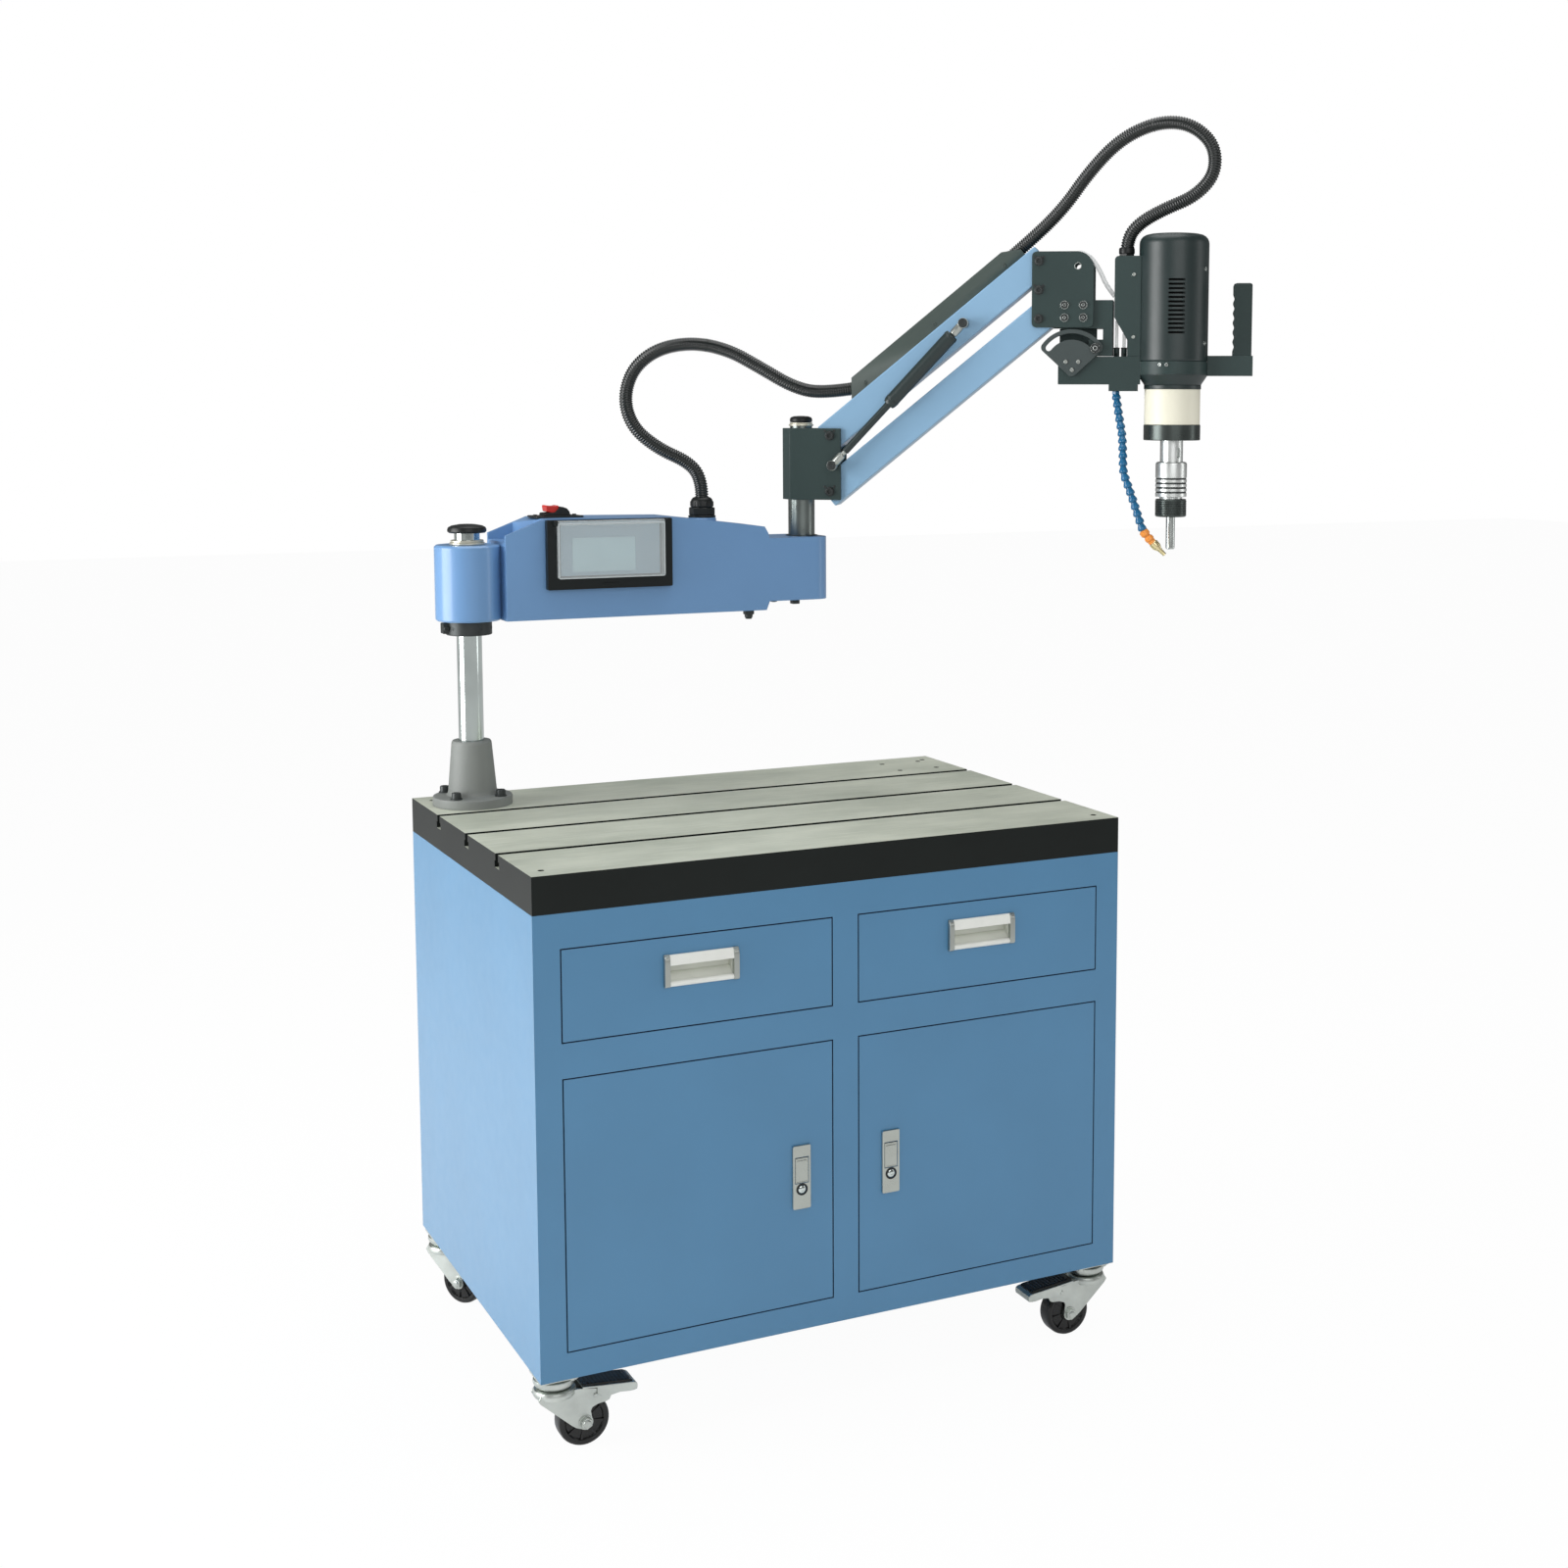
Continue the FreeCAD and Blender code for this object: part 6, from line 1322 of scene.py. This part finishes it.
def motor_cover():
    rings = [
        (50, -13.8), (50, 8.6), (59.6, 8.6), (60.8, 10), (61, 12), (61, 212), (60.4, 217), (58.4, 221.6),
        (55, 225.4), (50, 228.2), (44, 229.6), (36, 229.8),
    ]
    shell = turned(rings, sides=128)
    rows = [56 + row * 7.55 for row in range(13)]
    slots = [rounded(block(-8, 21, -70, -50, z, z + 3.8), 1.4, 2) for z in rows]
    carve(shell, join(*slots))
    on_motor(shell, "motor_shell", "motor_paint", "motor_black", "motor")
    # painted shade: a near-black core inside the shell darkens the vent slots as shadow would
    inner = rod(0, 0, 20, 53, 180, "Z", 1, 64)
    on_motor(inner, "motor_core", "vent_dark", "motor_black")
    seam = rounded(block(60.2, 61.5, -1, 1, 14, 206), 0.4, 1)
    seam.data.transform(spin(-22))
    on_motor(seam, "motor_seam", "motor_paint", "motor_black")
    screws = []
    on_side = ((-27, 168, 3.6), (-27, 40, 3.6), (153, 168, 3.6), (-110, 2.4, 3.4), (-99, 2.4, 3.4))
    for angle, z, radius in on_side:
        screw = cap_screw(0, 0, 0, radius, radius - 1)
        screw.data.transform(spin(angle) @ shift(x=60.8, z=z) @ ALONG["X"])
        screws.append(screw)
    on_motor(join(*screws), "motor_screws", "ground_steel", "bright_steel")


def nose():
    """The tapping unit under the motor: cone, neck, cream torque band and dark collar."""
    cone = [(50.2, -32.4), (51.4, -30), (60.8, -16), (60.8, -13.9)]
    neck = [(50, -39.6), (50.2, -38.8), (50.2, -33), (49.6, -32.4)]
    band = [(48.6, -101.6), (49, -101), (49, -40.4), (48.6, -39.7)]
    collar = [(20.4, -112), (20.4, -129.2), (48.8, -129.2), (50, -128), (50, -102.6), (49, -101.6)]
    on_motor(turned(cone, sides=96), "nose_cone", "motor_paint", "motor_black", "gear_nose")
    on_motor(turned(neck, sides=96), "nose_neck", "motor_paint", "motor_black")
    on_motor(turned(band, sides=96), "torque_band", "cream_paint", "cream_paint")
    on_motor(turned(collar, sides=96), "nose_collar", "satin_black_steel", "dark_steel")


def spindle_parts():
    shaft = turned([(20.1, -170), (20.25, -169), (20.25, -100)], sides=64)
    carve(shaft, rounded(block(12, 30, -3.4, 3.4, -160, -142), 3, 4))
    shaft.data.transform(spin(-52))
    on_spindle(shaft, "spindle_shaft", "satin_chrome", "bright_steel", "spindle")
    tops = [-195 - row * 8 for row in range(4)]
    rings = [(20, -232.6), (20, -229), (26.8, -229), (27.6, -228.2)]
    for top in tops[::-1]:
        rings += [(27.7, top - 3.4), (26.4, top - 3), (26.4, top - 0.4), (27.7, top)]
    rings += [(27.7, -171), (26.6, -168.4), (24, -167.2)]
    on_spindle(turned(rings, sides=80), "chuck_body", "satin_chrome", "bright_steel")
    # painted shade: thin dark rings laid in the chuck's grooves, for the shadow in them
    grooves = [hoop(26, 26.7, top - 3, top - 0.5, edge=0.1, sides=80) for top in tops]
    on_spindle(join(*grooves), "chuck_grooves", "black_steel", "dark_steel")
    on_spindle(rod(0, 0, -264, 12, 60), "chuck_core", "black_steel", "dark_steel")
    rings = [(12.3, -264.2), (25.6, -264.2), (27.4, -262.6)]
    for low in range(-262, -235, 3):
        rings += [(27.7, low + 0.5), (27.7, low + 2.2), (26.9, low + 2.6)]
    rings += [(27.2, -234), (26.4, -232.9), (20.2, -232.9), (20.2, -238), (12.3, -238), (12.3, -264.2)]
    ring = turned(rings, sides=80, closed=True)
    settle(ring, "release_ring", motor_axis, "chuck_ring", "satin_black_steel", "dark_steel", "chuck_ring")
    body = turned([(6.4, -322), (7.9, -320.2), (8, -318), (8, -262)])
    on_spindle(body, "tap_bit", "ground_steel", "bright_steel", "tap")


def handle_parts():
    bar = block(228, 315.5, -12, 12, -16.3, 18.7)
    rounded(carve(bar, turned([(61.3, 0), (61.3, 60)], MOTOR_X, 0, -30, sides=96)), 1.4, 3, 50)
    on_tilt(bar, "handle_arm", "slate_paint", "grey_green_paint", "handle")
    wave = [(279.5 + 1.2 * (1 - math.cos(step * math.pi / 3.2)), 26 + step * 2.6) for step in range(40)]
    outline = [
        (279.5, 17), *wave, (279.6, 139), (281.4, 143), (286, 144.6), (309, 144.6), (312, 143.4), (313, 141),
        (313, 17),
    ]
    grip = sheet_of(outline, -12, 12)
    bevel_edges(grip, 3.5, 4, where=lambda middle: abs(middle.y) > 11.5)
    on_tilt(grip, "handle_grip", "grip_rubber", "grey_green_paint")


# The coolant hose's middle line from its stub to the nozzle's tip, in the tilting head's axes.
COOLANT = [
    (77, -8, -43), (83, -16, -84), (90, -26, -120), (92, -34, -153), (93, -38, -185), (103, -39, -212),
    (113, -39, -240), (122, -39, -268), (129, -38, -288), (144, -37, -306), (168, -36, -330),
]


def coolant():
    """A chain of equal beads from the stub, a swivelling joint and the nozzle."""
    stub = hexagon(*COOLANT[0], 7.2, 6, "-Z")
    line = evenly([Vector(point) for point in [(77, -8, -46), *COOLANT[1:-2]]], 13.5)
    bead = peg(
        0, 0, 0, [(4.2, -2), (5.2, 0), (5.2, 1.6), (6.4, 4.4), (7.7, 7.6), (7.9, 10), (7.1, 11.8), (5, 12.8)],
        sides=20,
    )
    places = [Matrix.Translation(top * MM) @ aim(bottom - top) for top, bottom in zip(line, line[1:])]
    chain = join(*spread(bead, places), stub)
    on_tilt(chain, "coolant_chain", "blue_plastic", "coolant_blue", "coolant_hose")
    joint, bend, tip = (Vector(point) for point in COOLANT[-3:])
    rings = [(5.8, -1), (8.4, 1.4), (8.6, 8), (6.2, 11), (5.8, 12.4), (8, 15), (8.2, 20), (6.4, 22.4)]
    first = aimed(peg(0, 0, 0, rings), joint, bend - joint)
    rings = [(3, -6.6), (5.6, -4.6), (7, 0), (6.6, 4), (5.4, 7)]
    ball = aimed(peg(0, 0, 0, rings), bend, tip - bend)
    on_tilt(join(first, ball), "coolant_joint", "orange_plastic", "coolant_blue")
    rings = [
        (6.2, 3), (8.2, 5), (8.2, 13), (6.4, 17), (4.4, 21), (3.5, 31.5), (3.9, 33.6), (2.2, 34), (2, 32),
    ]
    nozzle = aimed(peg(0, 0, 0, rings), bend, tip - bend)
    on_tilt(nozzle, "coolant_nozzle", "brass", "coolant_blue")


# ---- all together

# The finishes of the CAD nodes that no piece replaces.
NODE_FINISH = {
    "cabinet_paint": ["cabinet_shell", "drawer_left", "drawer_right", "door_left", "door_right"],
    "table_iron": ["table_plate"],
    "chromed_steel": ["column_tube"],
    "post_steel": ["swivel_post"],
    "slate_paint": ["tilt_block", "tilt_bar"],
}

camera()
finishes()
cords()
for make in (
    gap_shade_strips, pulls, latches, casters, column_parts, arm_casting, panel, clear_lid, power_switch,
    gland, arm_underside, bracket, links, gas_spring, head_parts, quadrant_parts, push_fittings,
    valve_box, motor_cover, nose, spindle_parts, handle_parts, coolant,
):
    make()
for material, names in NODE_FINISH.items():
    for name in names:
        for item in frame["nodes"][name].material_slots:
            item.material = materials[material]
lights()
backdrop()
bpy.context.scene.view_settings.view_transform = "Standard"
low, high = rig.bounds()
with open("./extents.json", "w") as file:
    json.dump({"cad": [list(cad_low), list(cad_high)], "scene": [list(low), list(high)]}, file)
